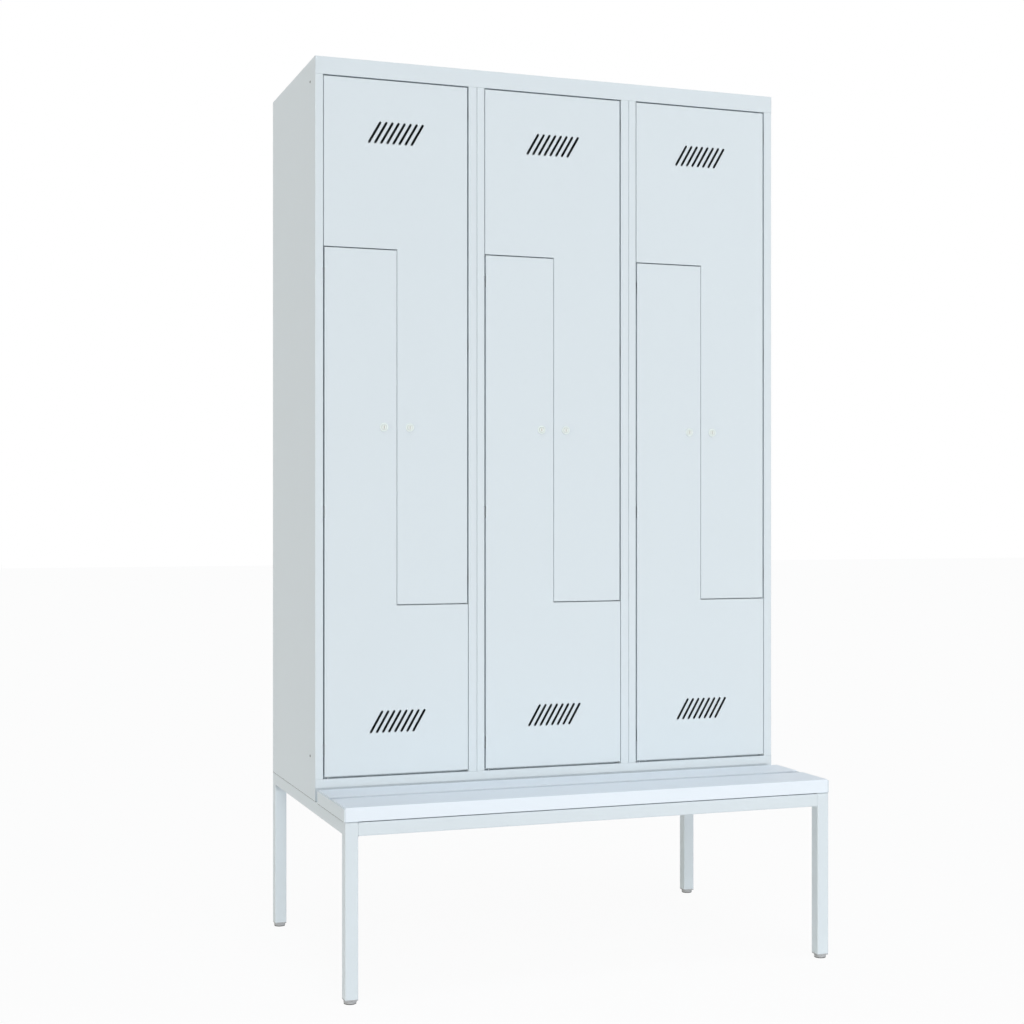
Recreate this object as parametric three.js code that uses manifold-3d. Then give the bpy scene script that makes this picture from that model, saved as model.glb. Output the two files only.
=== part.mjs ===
// A changing-room locker of folded sheet steel on a square-tube frame with a slatted bench.
// Three bays stand side by side, and each bay has two interlocking L-shaped doors.
// Millimetres, +Z up, X along the front, the doors face -Y.
// The origin lies on the floor under the middle of the whole unit.

import * as THREE from "three";
import Module from "manifold-3d";
import { mergeVertices } from "three/addons/utils/BufferGeometryUtils.js";

const wasm = await Module();
wasm.setup();

// Overall sizes
const bayCount = 3;
const bayWidth = 400;
const bodyDepth = 490;
const bodyHeight = 1750;
const frameHeight = 400;
const benchReach = 290;

// Clearances and cutting
const seam = 0.3; // between two fixed pieces that meet
const groove = 0.6; // between the two sheets of one partition
const overrun = 2; // how far a cut runs past the metal
const straightness = 0.001; // a corner this close to a straight edge is left over from a join

// Folded sheets of the body
const sheet = 1;
const leftStile = 19.25;
const rightStile = 21.25;
const topRail = 41.3;
const bottomRail = 51;
const stopSetback = 21; // the door stop's face, behind the front of the body
const stopWidth = 12;
const rearFlange = 15;
const dividerHalfPost = 16;
const shelfFlange = 12;

// Holes in the side panels, through which neighbouring units are screwed together
const linkHoleRadius = 2.3;
const linkHoleSetback = 52;
const linkHoleDrop = 50; // below the top of the body
const linkHoleRise = 100; // above its underside

// Doors
const doorDepth = 18;
const doorLip = 8;
const doorHead = 400.3; // height of a door's full-width end
const hingeGap = 3.5;
const latchGap = 1.5;
const topGap = 3.4;
const bottomGap = 5;
const stepGap = 2.5; // between the two doors of a bay, across
const middleGap = 1; // between the two doors of a bay, upright

// Vent slots, eight to a door
const ventCount = 8;
const ventPitch = 15;
const ventLength = 60;
const ventWidth = 6;
const ventSlant = THREE.MathUtils.degToRad(30);
const ventDrop = 124.5; // from the door's end to the middle of the slots
const ventShift = 1.2; // away from the hinge

// Hinge rods and the brackets that hold them
const hingeInset = 8;
const hingeSetback = 5;
const rodRadius = 2;
const rodPlay = 0.3;
const rodProud = 1;
const bracketThickness = 3;
const bracketHeight = 26;
const bracketBarrelRadius = 3.5;
const bracketHeightShares = [0.05, 0.5, 0.95];
const notchRoom = 1.5;

// Cam locks
const lockOffset = 32; // from the middle of the bay's opening
const lockHeadRadius = 10.5;
const lockHeadProud = 2.5;
const lockHeadChamfer = 0.8;
const lockBodyRadius = 8.5;
const lockBodyLength = 18;
const lockNutRadius = 12.5;
const lockNutThickness = 4;
const plugRadius = 6;
const plugPlay = 0.3;
const plugRecess = 0.5;
const keywayWidth = 1.6;
const keywayHeight = 7.5;
const keywayDepth = 5;
const camGap = 2.5; // behind the divider's post
const camThickness = 2;
const camWidth = 12;
const camReach = 24;
const camScrewRadius = 4.5;
const camScrewHead = 1.5;

// Coat rails
const coatRailRadius = 8;
const coatRailWall = 1.5;
const coatRailDrop = 70;
const coatFlangeRadius = 15;
const coatFlangeThickness = 2.5;

// Square-tube frame
const tube = 30;
const tubeWall = 1.5;
const tubeCorner = 2.5;
const frontRailDrop = 1.5;
const bearerWidth = 20;

// Bench seat
const slatThickness = 31.5;
const frontSlatWidth = 126;
const rearSlatWidth = 106;
const slatGap = 26;
const slatSetback = 2; // behind the front of the legs
const slatCorner = 2;
const seatOverhang = 2;
const endStripThickness = 3;
const endStripDrop = 2.5; // below the top of the slats

// Levelling feet
const footDiscRadius = 14.5;
const footDiscHeight = 8;
const footChamfer = 1.5;
const footStemRadius = 4;
const footStemLength = 34;
const footPlay = 0.3;
const plugRim = 3;
const plugInsert = 20;

// Numbers of flats on round pieces
const cornerSteps = 2;
const rodSides = 12;
const roundSides = 16;
const nutSides = 6;
const slotSteps = 3;

// Places worked out from the sizes
const bodyWidth = bayCount * bayWidth;
const halfWidth = bodyWidth / 2;
const benchFront = -(bodyDepth + benchReach) / 2;
const bodyFront = benchFront + benchReach;
const bodyBack = bodyFront + bodyDepth;
const bodyTop = frameHeight + bodyHeight;
const topRailUnder = bodyTop - topRail;
const bottomRailTop = frameHeight + bottomRail;
const stopBack = stopSetback + sheet;
const backPanelBack = bodyDepth - sheet - seam;
const partitionDepth = backPanelBack - sheet - seam;
const dividerDepth = partitionDepth - sheet - seam;
const frameTop = frameHeight - seam;
const frameUnder = frameTop - tube;

// The two doors of a bay are one door and the same door turned half round about this point.
const pairX = (leftStile + bayWidth - rightStile) / 2;
const doorsLow = bottomRailTop + bottomGap;
const doorsHigh = topRailUnder - topGap;
const pairZ = (doorsLow + doorsHigh) / 2;
const openingHalf = (bayWidth - leftStile - rightStile) / 2;
const doorTop = (doorsHigh - doorsLow) / 2;
const doorStep = doorTop - doorHead;
const doorFoot = -doorStep + stepGap;
const hingeEdge = openingHalf - hingeGap;
const latchEdge = -(openingHalf - latchGap);
const columnEdge = middleGap / 2;
const rodX = hingeEdge - hingeInset;
const shelfHigh = doorStep - stepGap / 2;

// Finishes
const paint = { color: 0xd9dfe3, roughness: 0.45, metalness: 0.05 };
const seatWhite = { color: 0xe9eef4, roughness: 0.5, metalness: 0 };
const nickel = { color: 0xc9cdc8, roughness: 0.25, metalness: 1 };
const zinc = { color: 0xb8bbbc, roughness: 0.4, metalness: 1 };
const greyPlastic = { color: 0xa3a6a8, roughness: 0.6, metalness: 0 };

// Solids

// Turns a closed three.js geometry into a solid that can be joined and cut.
function solid(geometry) {
  const bare = geometry.clone();
  bare.deleteAttribute("normal");
  bare.deleteAttribute("uv");
  const merged = mergeVertices(bare);
  return new wasm.Manifold(
    new wasm.Mesh({
      numProp: 3,
      vertProperties: merged.attributes.position.array,
      triVerts: new Uint32Array(merged.index.array),
    }),
  );
}

function join(pieces) {
  return pieces.reduce((whole, piece) => whole.add(piece));
}

function cut(whole, pieces) {
  return pieces.reduce((rest, piece) => rest.subtract(piece), whole);
}

// Moves every corner of a geometry to the place that a rule gives for it, then makes it a solid.
function reshaped(geometry, rule) {
  const corners = geometry.getAttribute("position");
  for (let index = 0; index < corners.count; index += 1) {
    const place = rule(corners.getX(index), corners.getY(index), corners.getZ(index));
    corners.setXYZ(index, ...place);
  }
  return solid(geometry);
}

// A block between two corners, each given as a pair of limits along X, Y and Z.
function block(x, y, z) {
  const choose = (limits, side) => limits[side > 0 ? 1 : 0];
  return reshaped(new THREE.BoxGeometry(1, 1, 1), (a, b, c) => [choose(x, a), choose(y, b), choose(z, c)]);
}

// An outline carried along an axis. For Y the outline lies in X and Z, for X in Y and Z.
function prism(points, axis, [from, to], holes = []) {
  const path = (corners) => corners.map(([a, b]) => new THREE.Vector2(a, b));
  const shape = new THREE.Shape(path(points));
  shape.holes = holes.map((hole) => new THREE.Path(path(hole)));
  const geometry = new THREE.ExtrudeGeometry(shape, { depth: 1, bevelEnabled: false });
  const places = {
    x: (a, b, far) => [far ? to : from, a, b],
    y: (a, b, far) => [a, far ? from : to, b],
    z: (a, b, far) => [a, b, far ? to : from],
  };
  return reshaped(geometry, places[axis]);
}

// A piece turned on a lathe, from its profile of radii and places along the axis. The axis
// passes through a centre that is given by its two other coordinates.
function turned(axis, [a, b], profile, sides = roundSides) {
  const points = profile.map(([radius, along]) => new THREE.Vector2(radius, along));
  const places = {
    x: (u, along, v) => [along, a + v, b + u],
    y: (u, along, v) => [a + u, along, b + v],
    z: (u, along, v) => [a + v, b + u, along],
  };
  return reshaped(new THREE.LatheGeometry(points, sides), places[axis]);
}

// A round rod along an axis.
function rod(axis, centre, [from, to], radius, sides = rodSides) {
  return turned(axis, centre, [[0, from], [radius, from], [radius, to], [0, to]], sides);
}

// A turned piece with a bore, so that its profile closes on itself.
function turnedRing(axis, centre, bore, [from, to], steps, sides = roundSides) {
  return turned(axis, centre, [[bore, from], ...steps, [bore, to], [bore, from]], sides);
}

// Outline of a rectangle with round corners.
function roundedOutline([a0, a1], [b0, b1], radius) {
  const corners = [
    [a1 - radius, b0 + radius, -1],
    [a1 - radius, b1 - radius, 0],
    [a0 + radius, b1 - radius, 1],
    [a0 + radius, b0 + radius, 2],
  ];
  const points = [];
  for (const [a, b, quarter] of corners) {
    for (let step = 0; step <= cornerSteps; step += 1) {
      const angle = ((quarter + step / cornerSteps) * Math.PI) / 2;
      points.push([a + radius * Math.cos(angle), b + radius * Math.sin(angle)]);
    }
  }
  return points;
}

// Outline of a slot with round ends, slanted from the upright.
function slotOutline(a, b, length, width, slant) {
  const reach = (length - width) / 2;
  const points = [];
  for (const end of [1, -1]) {
    const middleA = a + end * reach * Math.sin(slant);
    const middleB = b + end * reach * Math.cos(slant);
    for (let step = 0; step <= slotSteps; step += 1) {
      const angle = -slant + (step / slotSteps) * Math.PI + (end < 0 ? Math.PI : 0);
      points.push([
        middleA + (width / 2) * Math.cos(angle),
        middleB + (width / 2) * Math.sin(angle),
      ]);
    }
  }
  return points;
}

// The surface of a solid as loose triangles.
function surface(whole) {
  const { vertProperties, triVerts } = whole.getMesh();
  const geometry = new THREE.BufferGeometry();
  geometry.setAttribute("position", new THREE.BufferAttribute(vertProperties, 3));
  geometry.setIndex(new THREE.BufferAttribute(triVerts, 1));
  return geometry.toNonIndexed();
}

// A named mesh of a solid, without the corners that joins leave along straight edges.
function finishedMesh(name, whole, finish) {
  const geometry = surface(solid(surface(whole)).simplify(straightness));
  geometry.computeVertexNormals();
  const mesh = new THREE.Mesh(geometry, new THREE.MeshStandardMaterial(finish));
  mesh.name = name;
  return mesh;
}

// Places in a bay: X from the bay's left edge, Y from the front of the body
const inBay = (bay, x) => -halfWidth + bay * bayWidth + x;
const behind = (distance) => bodyFront + distance;

// Frame

// A square tube along an axis, open at both ends.
function squareTube(axis, a, b, along) {
  const inside = ([low, high]) => [low + tubeWall, high - tubeWall];
  const bore = roundedOutline(inside(a), inside(b), tubeCorner - tubeWall);
  return prism(roundedOutline(a, b, tubeCorner), axis, along, [bore]);
}

// A leg with a closed top and a pressed-in plug below, which has the foot's thread in it.
function leg(name, x, y) {
  const under = footDiscHeight;
  const plugTop = under + plugRim + plugInsert;
  const wall = squareTube("z", x, y, [under + plugRim, frameTop]);
  const outline = roundedOutline(x, y, tubeCorner);
  const lid = prism(outline, "z", [frameTop - tubeWall, frameTop]);
  const plug = prism(outline, "z", [under, plugTop]);
  const middle = [(x[0] + x[1]) / 2, (y[0] + y[1]) / 2];
  const thread = rod("z", middle, [under - overrun, plugTop + overrun], footStemRadius + footPlay);
  return finishedMesh(name, cut(join([wall, lid, plug]), [thread]), paint);
}

// A round foot disc on its threaded stem, screwed right in.
function foot(name, x, y) {
  const middle = [(x[0] + x[1]) / 2, (y[0] + y[1]) / 2];
  const discTop = footDiscHeight - seam;
  const stemTop = footDiscHeight + footStemLength;
  const profile = [
    [0, 0],
    [footDiscRadius - footChamfer, 0],
    [footDiscRadius, footChamfer],
    [footDiscRadius, discTop],
    [footStemRadius, discTop],
    [footStemRadius, stemTop],
    [0, stemTop],
  ];
  return finishedMesh(name, turned("z", middle, profile), greyPlastic);
}

const tubeLeft = [-halfWidth, -halfWidth + tube];
const tubeRight = [halfWidth - tube, halfWidth];
const tubeFront = [benchFront, benchFront + tube];
const tubeBack = [bodyBack - tube, bodyBack];
const betweenSides = [-halfWidth + tube + seam, halfWidth - tube - seam];
const railHeights = [frameUnder, frameTop];

function legsAndFeet() {
  const meshes = [];
  for (const [side, x] of [["left", tubeLeft], ["right", tubeRight]]) {
    for (const [end, y] of [["front", tubeFront], ["rear", tubeBack]]) {
      meshes.push(leg(`leg_${end}_${side}`, x, y));
      meshes.push(foot(`foot_${end}_${side}`, x, y));
    }
  }
  return meshes;
}

function frameRails() {
  const lowered = railHeights.map((z) => z - frontRailDrop);
  const middleY = [bodyFront, bodyFront + tube];
  const sideRun = [tubeFront[1] + seam, tubeBack[0] - seam];
  const bearerRun = [tubeFront[1] + seam, middleY[0] - seam];
  const bearerX = [-bearerWidth / 2, bearerWidth / 2];
  return [
    finishedMesh("frame_front_rail", squareTube("x", tubeFront, lowered, betweenSides), paint),
    finishedMesh("frame_middle_rail", squareTube("x", middleY, railHeights, betweenSides), paint),
    finishedMesh("frame_rear_rail", squareTube("x", tubeBack, railHeights, betweenSides), paint),
    finishedMesh("frame_left_rail", squareTubeAlongY(tubeLeft, sideRun), paint),
    finishedMesh("frame_right_rail", squareTubeAlongY(tubeRight, sideRun), paint),
    finishedMesh("seat_bearer", squareTubeAlongY(bearerX, bearerRun), paint),
  ];
}

function squareTubeAlongY(x, run) {
  return squareTube("y", x, railHeights, run);
}

// Bench seat

const slatBack = benchFront + slatSetback + frontSlatWidth + slatGap + rearSlatWidth;
const seatHalf = halfWidth + seatOverhang;

function slat(name, y) {
  const half = seatHalf - endStripThickness - seam;
  const outline = roundedOutline(y, [frameHeight, frameHeight + slatThickness], slatCorner);
  return finishedMesh(name, prism(outline, "x", [-half, half]), seatWhite);
}

function benchSeat() {
  const start = benchFront + slatSetback;
  const stripX = [seatHalf - endStripThickness, seatHalf];
  const stripZ = [frameHeight, frameHeight + slatThickness - endStripDrop];
  const stripY = [start, slatBack];
  const left = block([-stripX[1], -stripX[0]], stripY, stripZ);
  const right = block(stripX, stripY, stripZ);
  return [
    slat("seat_slat_front", [start, start + frontSlatWidth]),
    slat("seat_slat_rear", [slatBack - rearSlatWidth, slatBack]),
    finishedMesh("seat_end_strip_left", left, paint),
    finishedMesh("seat_end_strip_right", right, paint),
  ];
}

// Body sheets

const innerHalf = halfWidth - sheet - seam;
const bodyInsideLow = frameHeight + sheet + seam;
const bodyInsideHigh = bodyTop - sheet - seam;
const stileHeights = [bottomRailTop + seam, topRailUnder - seam];

// Centres of the hinge brackets along a door, as heights above the middle of the doors.
const bracketHeights = bracketHeightShares.map((share) => doorFoot + share * (doorTop - doorFoot));

// An upright wall sheet of a bay with its stile, door stop and rear flange folded on.
// Distances across run from the sheet's outer face into the bay.
function wallSheet(name, { outerX, inward, stile, outermost }) {
  const across = (from, to) => [outerX + inward * from, outerX + inward * to].sort((a, b) => a - b);
  const depth = outermost ? bodyDepth : partitionDepth;
  const webFront = outermost ? 0 : stopBack + seam;
  const webHeights = outermost ? [frameHeight, bodyTop] : [bodyInsideLow, bodyInsideHigh];
  const webDepths = [behind(webFront), behind(depth)];
  const edgeDepths = [behind(0), behind(stopBack)];
  const rear = [behind(depth - sheet), behind(depth)];
  const rodAcross = stile + hingeGap + hingeInset;
  const pieces = [
    block(across(0, sheet), webDepths, webHeights),
    block(across(0, sheet), [behind(0), behind(depth)], stileHeights),
    block(across(0, stile), [behind(0), behind(sheet)], stileHeights),
    block(across(stile - sheet, stile), edgeDepths, stileHeights),
    block(across(stile - sheet, stile + stopWidth), [behind(stopSetback), behind(stopBack)], stileHeights),
    block(across(0, rearFlange), rear, [bodyInsideLow, bodyInsideHigh]),
  ];
  const centre = [outerX + inward * rodAcross, behind(hingeSetback)];
  const arm = across(rodAcross - bracketThickness / 2, rodAcross + bracketThickness / 2);
  const armFront = behind(hingeSetback + (rodRadius + rodPlay + bracketBarrelRadius) / 2);
  for (const height of bracketHeights) {
    const middle = pairZ - inward * height;
    const heights = [middle - bracketHeight / 2, middle + bracketHeight / 2];
    const barrel = heights.map((end) => [bracketBarrelRadius, end]);
    pieces.push(block(arm, [armFront, behind(stopBack)], heights));
    pieces.push(turnedRing("z", centre, rodRadius + rodPlay, heights, barrel, rodSides));
  }
  const holeHeights = outermost ? [bodyTop - linkHoleDrop, frameHeight + linkHoleRise] : [];
  const holes = holeHeights.map((z) =>
    rod("x", [behind(linkHoleSetback), z], across(-overrun, sheet + overrun), linkHoleRadius),
  );
  return finishedMesh(name, cut(join(pieces), holes), paint);
}

// Every bay has a left wall and a right wall, so a partition between two bays is two sheets.
function wallSheets() {
  const meshes = [];
  for (let bay = 0; bay < bayCount; bay += 1) {
    const first = bay === 0;
    const last = bay === bayCount - 1;
    meshes.push(
      wallSheet(first ? "side_panel_left" : `partition_${bay}_right_sheet`, {
        outerX: inBay(bay, first ? 0 : groove / 2),
        inward: 1,
        stile: first ? leftStile : leftStile - groove / 2,
        outermost: first,
      }),
      wallSheet(last ? "side_panel_right" : `partition_${bay + 1}_left_sheet`, {
        outerX: inBay(bay, bayWidth - (last ? 0 : groove / 2)),
        inward: -1,
        stile: last ? rightStile : rightStile - groove / 2,
        outermost: last,
      }),
    );
  }
  return meshes;
}

// The top or bottom sheet with its front rail, door stops and rear flange.
// Heights run from the sheet's outer face into the body.
function endSheet(name, { outerZ, inward, rail, rodAt }) {
  const heights = (from, to) => [outerZ + inward * from, outerZ + inward * to].sort((a, b) => a - b);
  const wide = [-innerHalf, innerHalf];
  const flangeHalf = halfWidth - rearFlange - seam;
  const pieces = [
    block(wide, [behind(0), behind(bodyDepth)], heights(0, sheet)),
    block(wide, [behind(0), behind(sheet)], heights(0, rail)),
    block(wide, [behind(0), behind(stopBack)], heights(rail - sheet, rail)),
    block([-flangeHalf, flangeHalf], [behind(bodyDepth - sheet), behind(bodyDepth)], heights(0, rearFlange)),
  ];
  const bores = [];
  for (let bay = 0; bay < bayCount; bay += 1) {
    const stopX = [
      inBay(bay, leftStile + stopWidth + seam),
      inBay(bay, bayWidth - rightStile - stopWidth - seam),
    ];
    const stopHeights = heights(rail - sheet, rail + stopWidth);
    pieces.push(block(stopX, [behind(stopSetback), behind(stopBack)], stopHeights));
    const centre = [inBay(bay, pairX + rodAt), behind(hingeSetback)];
    bores.push(rod("z", centre, heights(sheet + overrun, rail + overrun), rodRadius + rodPlay));
  }
  return finishedMesh(name, cut(join(pieces), bores), paint);
}

function backPanel() {
  const depths = [behind(backPanelBack - sheet), behind(backPanelBack)];
  const whole = block([-innerHalf, innerHalf], depths, [bodyInsideLow, bodyInsideHigh]);
  return finishedMesh("back_panel", whole, paint);
}

// The Z-shaped divider of a bay: a shelf on the left, an upright web and a shelf on the right,
// with a flat post along its front that both doors close against.
function divider(bay) {
  const wall = sheet + groove / 2 + seam;
  const stopFree = stopWidth + seam;
  const webHalf = sheet / 2;
  const deep = [behind(stopBack + seam), behind(dividerDepth)];
  const post = [behind(stopSetback), behind(stopBack)];
  const joint = [behind(stopSetback), behind(stopBack + overrun)];
  const arms = [
    { level: pairZ + shelfHigh, ends: [wall, pairX + webHalf], front: [leftStile + stopFree, pairX] },
    {
      level: pairZ - shelfHigh,
      ends: [pairX - webHalf, bayWidth - wall],
      front: [pairX, bayWidth - rightStile - stopFree],
    },
  ];
  const span = (level, half) => [level - half, level + half];
  const place = (limits) => limits.map((x) => inBay(bay, x));
  const [high, low] = arms.map(({ level }) => level);
  const pieces = [
    block(place(span(pairX, webHalf)), [post[0], deep[1]], [low, high]),
    block(place(span(pairX, dividerHalfPost)), post, [low - dividerHalfPost, high + dividerHalfPost]),
  ];
  for (const { level, ends, front } of arms) {
    const outerEnd = ends[0] === wall ? [wall, wall + sheet] : [bayWidth - wall - sheet, bayWidth - wall];
    pieces.push(block(place(ends), deep, span(level, webHalf)));
    pieces.push(block(place(front), joint, span(level, webHalf)));
    pieces.push(block(place(front), post, span(level, dividerHalfPost)));
    pieces.push(block(place(outerEnd), deep, [level - shelfFlange, level + webHalf]));
  }
  return finishedMesh(`z_divider_${bay + 1}`, join(pieces), paint);
}

// A coat rail across a locker, a tube with a round flange on each end.
function coatRail(name, x, z) {
  const [start, end] = x;
  const steps = [
    [coatFlangeRadius, start],
    [coatFlangeRadius, start + coatFlangeThickness],
    [coatRailRadius, start + coatFlangeThickness],
    [coatRailRadius, end - coatFlangeThickness],
    [coatFlangeRadius, end - coatFlangeThickness],
    [coatFlangeRadius, end],
  ];
  const centre = [behind(bodyDepth / 2), z];
  const bore = coatRailRadius - coatRailWall;
  return finishedMesh(name, turnedRing("x", centre, bore, x, steps, rodSides), zinc);
}

function coatRails(bay) {
  const wall = sheet + groove / 2 + seam;
  const webSide = pairX - sheet / 2 - seam;
  const place = (limits) => limits.map((x) => inBay(bay, x));
  const upperZ = bodyTop - sheet - coatRailDrop;
  const lowerZ = pairZ + shelfHigh - sheet / 2 - coatRailDrop;
  return [
    coatRail(`upper_coat_rail_${bay + 1}`, place([wall, bayWidth - wall]), upperZ),
    coatRail(`lower_coat_rail_${bay + 1}`, place([wall, webSide]), lowerZ),
  ];
}

// Doors, drawn about the middle of the bay's opening with Y from the front of the body

// The door's L-shaped outline, drawn in by a margin on every side.
function doorOutline(margin) {
  return [
    [latchEdge + margin, doorTop - margin],
    [latchEdge + margin, doorStep + margin],
    [columnEdge + margin, doorStep + margin],
    [columnEdge + margin, doorFoot + margin],
    [hingeEdge - margin, doorFoot + margin],
    [hingeEdge - margin, doorTop - margin],
  ];
}

function ventSlots() {
  const middleX = (latchEdge + hingeEdge) / 2 - ventShift;
  const slots = [];
  for (let index = 0; index < ventCount; index += 1) {
    const x = middleX + (index - (ventCount - 1) / 2) * ventPitch;
    slots.push(slotOutline(x, doorTop - ventDrop, ventLength, ventWidth, ventSlant));
  }
  return slots;
}

// A folded door pan: skin with vents, flanges all round and lips turned in at the back.
function doorPan() {
  const skin = prism(doorOutline(0), "y", [0, sheet], ventSlots());
  const rim = prism(doorOutline(0), "y", [0, doorDepth], [doorOutline(sheet)]);
  const lips = prism(doorOutline(0), "y", [doorDepth - sheet, doorDepth], [doorOutline(doorLip)]);
  const cuts = [
    rod("y", [lockOffset, 0], [-overrun, sheet + overrun], lockBodyRadius + seam, roundSides),
    rod("z", [rodX, hingeSetback], [doorFoot - overrun, doorTop + overrun], rodRadius + rodPlay),
  ];
  const notchHalf = bracketHeight / 2 + notchRoom;
  const arm = bracketThickness / 2 + notchRoom;
  for (const height of bracketHeights) {
    const depths = [hingeSetback - arm, doorDepth + overrun];
    cuts.push(block([rodX - arm, hingeEdge + overrun], depths, [height - notchHalf, height + notchHalf]));
  }
  return cut(join([skin, rim, lips]), cuts);
}

// The rod that a door turns on, from its foot through its end into the body's rail.
function hingeRod() {
  const end = doorTop + Math.max(topGap, bottomGap) + sheet + rodProud;
  return rod("z", [rodX, hingeSetback], [doorFoot + seam, end], rodRadius);
}

// Lock barrel: round head on the skin, threaded body through it and a nut behind it.
function lockBarrel() {
  const nutFront = sheet + seam;
  const nutBack = nutFront + lockNutThickness;
  const steps = [
    [lockHeadRadius - lockHeadChamfer, -lockHeadProud],
    [lockHeadRadius, -lockHeadProud + lockHeadChamfer],
    [lockHeadRadius, -seam],
    [lockBodyRadius, -seam],
    [lockBodyRadius, nutFront],
    [lockNutRadius, nutFront],
    [lockNutRadius, nutBack],
    [lockBodyRadius, nutBack],
    [lockBodyRadius, lockBodyLength],
  ];
  const length = [-lockHeadProud, lockBodyLength];
  return turnedRing("y", [lockOffset, 0], plugRadius + plugPlay, length, steps);
}

// Lock plug with its keyway, and the cam that hangs down when the door is unlocked.
function lockPlug() {
  const front = -lockHeadProud + plugRecess;
  const camFront = stopBack + camGap;
  const camBack = camFront + camThickness;
  const camTip = camReach - camWidth / 2;
  const camOutline = slotOutline(0, -camTip / 2, camTip + camWidth, camWidth, 0);
  const pieces = [
    rod("y", [0, 0], [front, camFront + camThickness / 2], plugRadius, roundSides),
    prism(camOutline, "y", [camFront, camBack]),
    rod("y", [0, 0], [camFront + camThickness / 2, camBack + camScrewHead], camScrewRadius, nutSides),
  ];
  const keyway = block(
    [-keywayWidth / 2, keywayWidth / 2],
    [front - overrun, front + keywayDepth],
    [-keywayHeight / 2, keywayHeight / 2],
  );
  return cut(join(pieces), [keyway]);
}

const doorSolid = doorPan();
const hingeRodSolid = hingeRod();
const lockBarrelSolid = lockBarrel();
const lockPlugSolid = lockPlug();

// Both doors of a bay with their hinge rods and locks.
function doorPair(bay) {
  const pair = new THREE.Group();
  pair.position.set(inBay(bay, pairX), bodyFront, pairZ);
  for (const [level, turn, side] of [["upper", 0, 1], ["lower", Math.PI, -1]]) {
    const half = new THREE.Group();
    half.rotation.y = turn;
    half.add(
      finishedMesh(`${level}_door_${bay + 1}`, doorSolid, paint),
      finishedMesh(`${level}_hinge_rod_${bay + 1}`, hingeRodSolid, zinc),
      finishedMesh(`${level}_lock_barrel_${bay + 1}`, lockBarrelSolid, nickel),
    );
    const plug = finishedMesh(`${level}_lock_plug_${bay + 1}`, lockPlugSolid, nickel);
    plug.position.x = side * lockOffset;
    pair.add(half, plug);
  }
  return pair;
}

const locker = new THREE.Group();
locker.add(...legsAndFeet(), ...frameRails(), ...benchSeat(), ...wallSheets());
locker.add(
  endSheet("top_panel", { outerZ: bodyTop, inward: -1, rail: topRail, rodAt: rodX }),
  endSheet("bottom_panel", { outerZ: frameHeight, inward: 1, rail: bottomRail, rodAt: -rodX }),
  backPanel(),
);
for (let bay = 0; bay < bayCount; bay += 1) {
  locker.add(divider(bay), ...coatRails(bay), doorPair(bay));
}

export default locker;
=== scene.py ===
# %% [markdown]
# # A changing-room locker with a bench
#
# Three bays of folded sheet steel stand on a square-tube frame, whose front carries two white
# slats to sit on. Each bay has two L-shaped doors that interlock. The real thing is all flat
# sheet, so what makes it look real is small: bend radii that catch the light, even gaps with
# darkness behind them, punched slots with a true thickness, and a satin powder coat.
#
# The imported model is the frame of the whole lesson. It says where each piece is, and the pieces
# below are worked out from its boxes.

# %% Load the frame
import math

import bmesh
import bpy
import numpy as np
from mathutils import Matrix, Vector
from mathutils.geometry import delaunay_2d_cdt


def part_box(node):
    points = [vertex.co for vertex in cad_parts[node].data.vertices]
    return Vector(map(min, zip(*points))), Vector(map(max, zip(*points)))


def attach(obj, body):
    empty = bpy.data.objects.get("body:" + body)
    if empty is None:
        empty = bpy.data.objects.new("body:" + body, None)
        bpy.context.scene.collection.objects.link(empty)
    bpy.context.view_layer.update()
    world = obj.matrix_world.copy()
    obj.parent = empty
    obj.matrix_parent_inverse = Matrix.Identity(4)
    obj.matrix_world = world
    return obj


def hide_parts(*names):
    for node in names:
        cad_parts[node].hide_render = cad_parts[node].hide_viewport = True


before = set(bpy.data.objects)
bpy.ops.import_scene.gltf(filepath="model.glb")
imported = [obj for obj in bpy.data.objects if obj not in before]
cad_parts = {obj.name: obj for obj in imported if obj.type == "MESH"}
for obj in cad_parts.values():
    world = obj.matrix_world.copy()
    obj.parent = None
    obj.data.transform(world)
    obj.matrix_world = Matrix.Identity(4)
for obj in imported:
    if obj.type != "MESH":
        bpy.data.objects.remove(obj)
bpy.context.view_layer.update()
BAYS = (1, 2, 3)
LOCKERS = [(level, bay) for bay in BAYS for level in ("upper", "lower")]

# %% [markdown]
# ## The camera
#
# The straight edges of the photograph were fitted with a pinhole camera. It stands level, at
# 1.08 m above the floor, to the left of the locker, and looks in at it at an angle of 19.5
# degrees. A level camera keeps every upright edge of the locker upright in the picture.

# %% Place the camera
IMAGE_SIDE = 1024
FOCAL_PIXELS = 1705.2
SENSOR_WIDTH = 36.0
CAMERA_PLACE = (-1.5025, -4.0234, 1.079)
CAMERA_TURN = math.radians(-19.54)

camera_data = bpy.data.cameras.new("photograph_view")
camera_data.sensor_width = SENSOR_WIDTH
camera_data.lens = FOCAL_PIXELS * SENSOR_WIDTH / IMAGE_SIDE
camera = bpy.data.objects.new("photograph_view", camera_data)
camera.location = CAMERA_PLACE
camera.rotation_euler = (math.pi / 2, 0, CAMERA_TURN)
bpy.context.scene.collection.objects.link(camera)
bpy.context.scene.camera = camera
print("lens", round(camera_data.lens, 2), "mm")

# %% [markdown]
# ## Shader maths as Python expressions
#
# A material is a graph of nodes, but long graphs are hard to read. `Signal` wraps one socket, so
# that `0.4 + grain * 0.1` adds the Math nodes by itself. Every other node comes from one method,
# `Graph.node`, which takes the node's type, its settings, and the values or links of its sockets.

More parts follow.
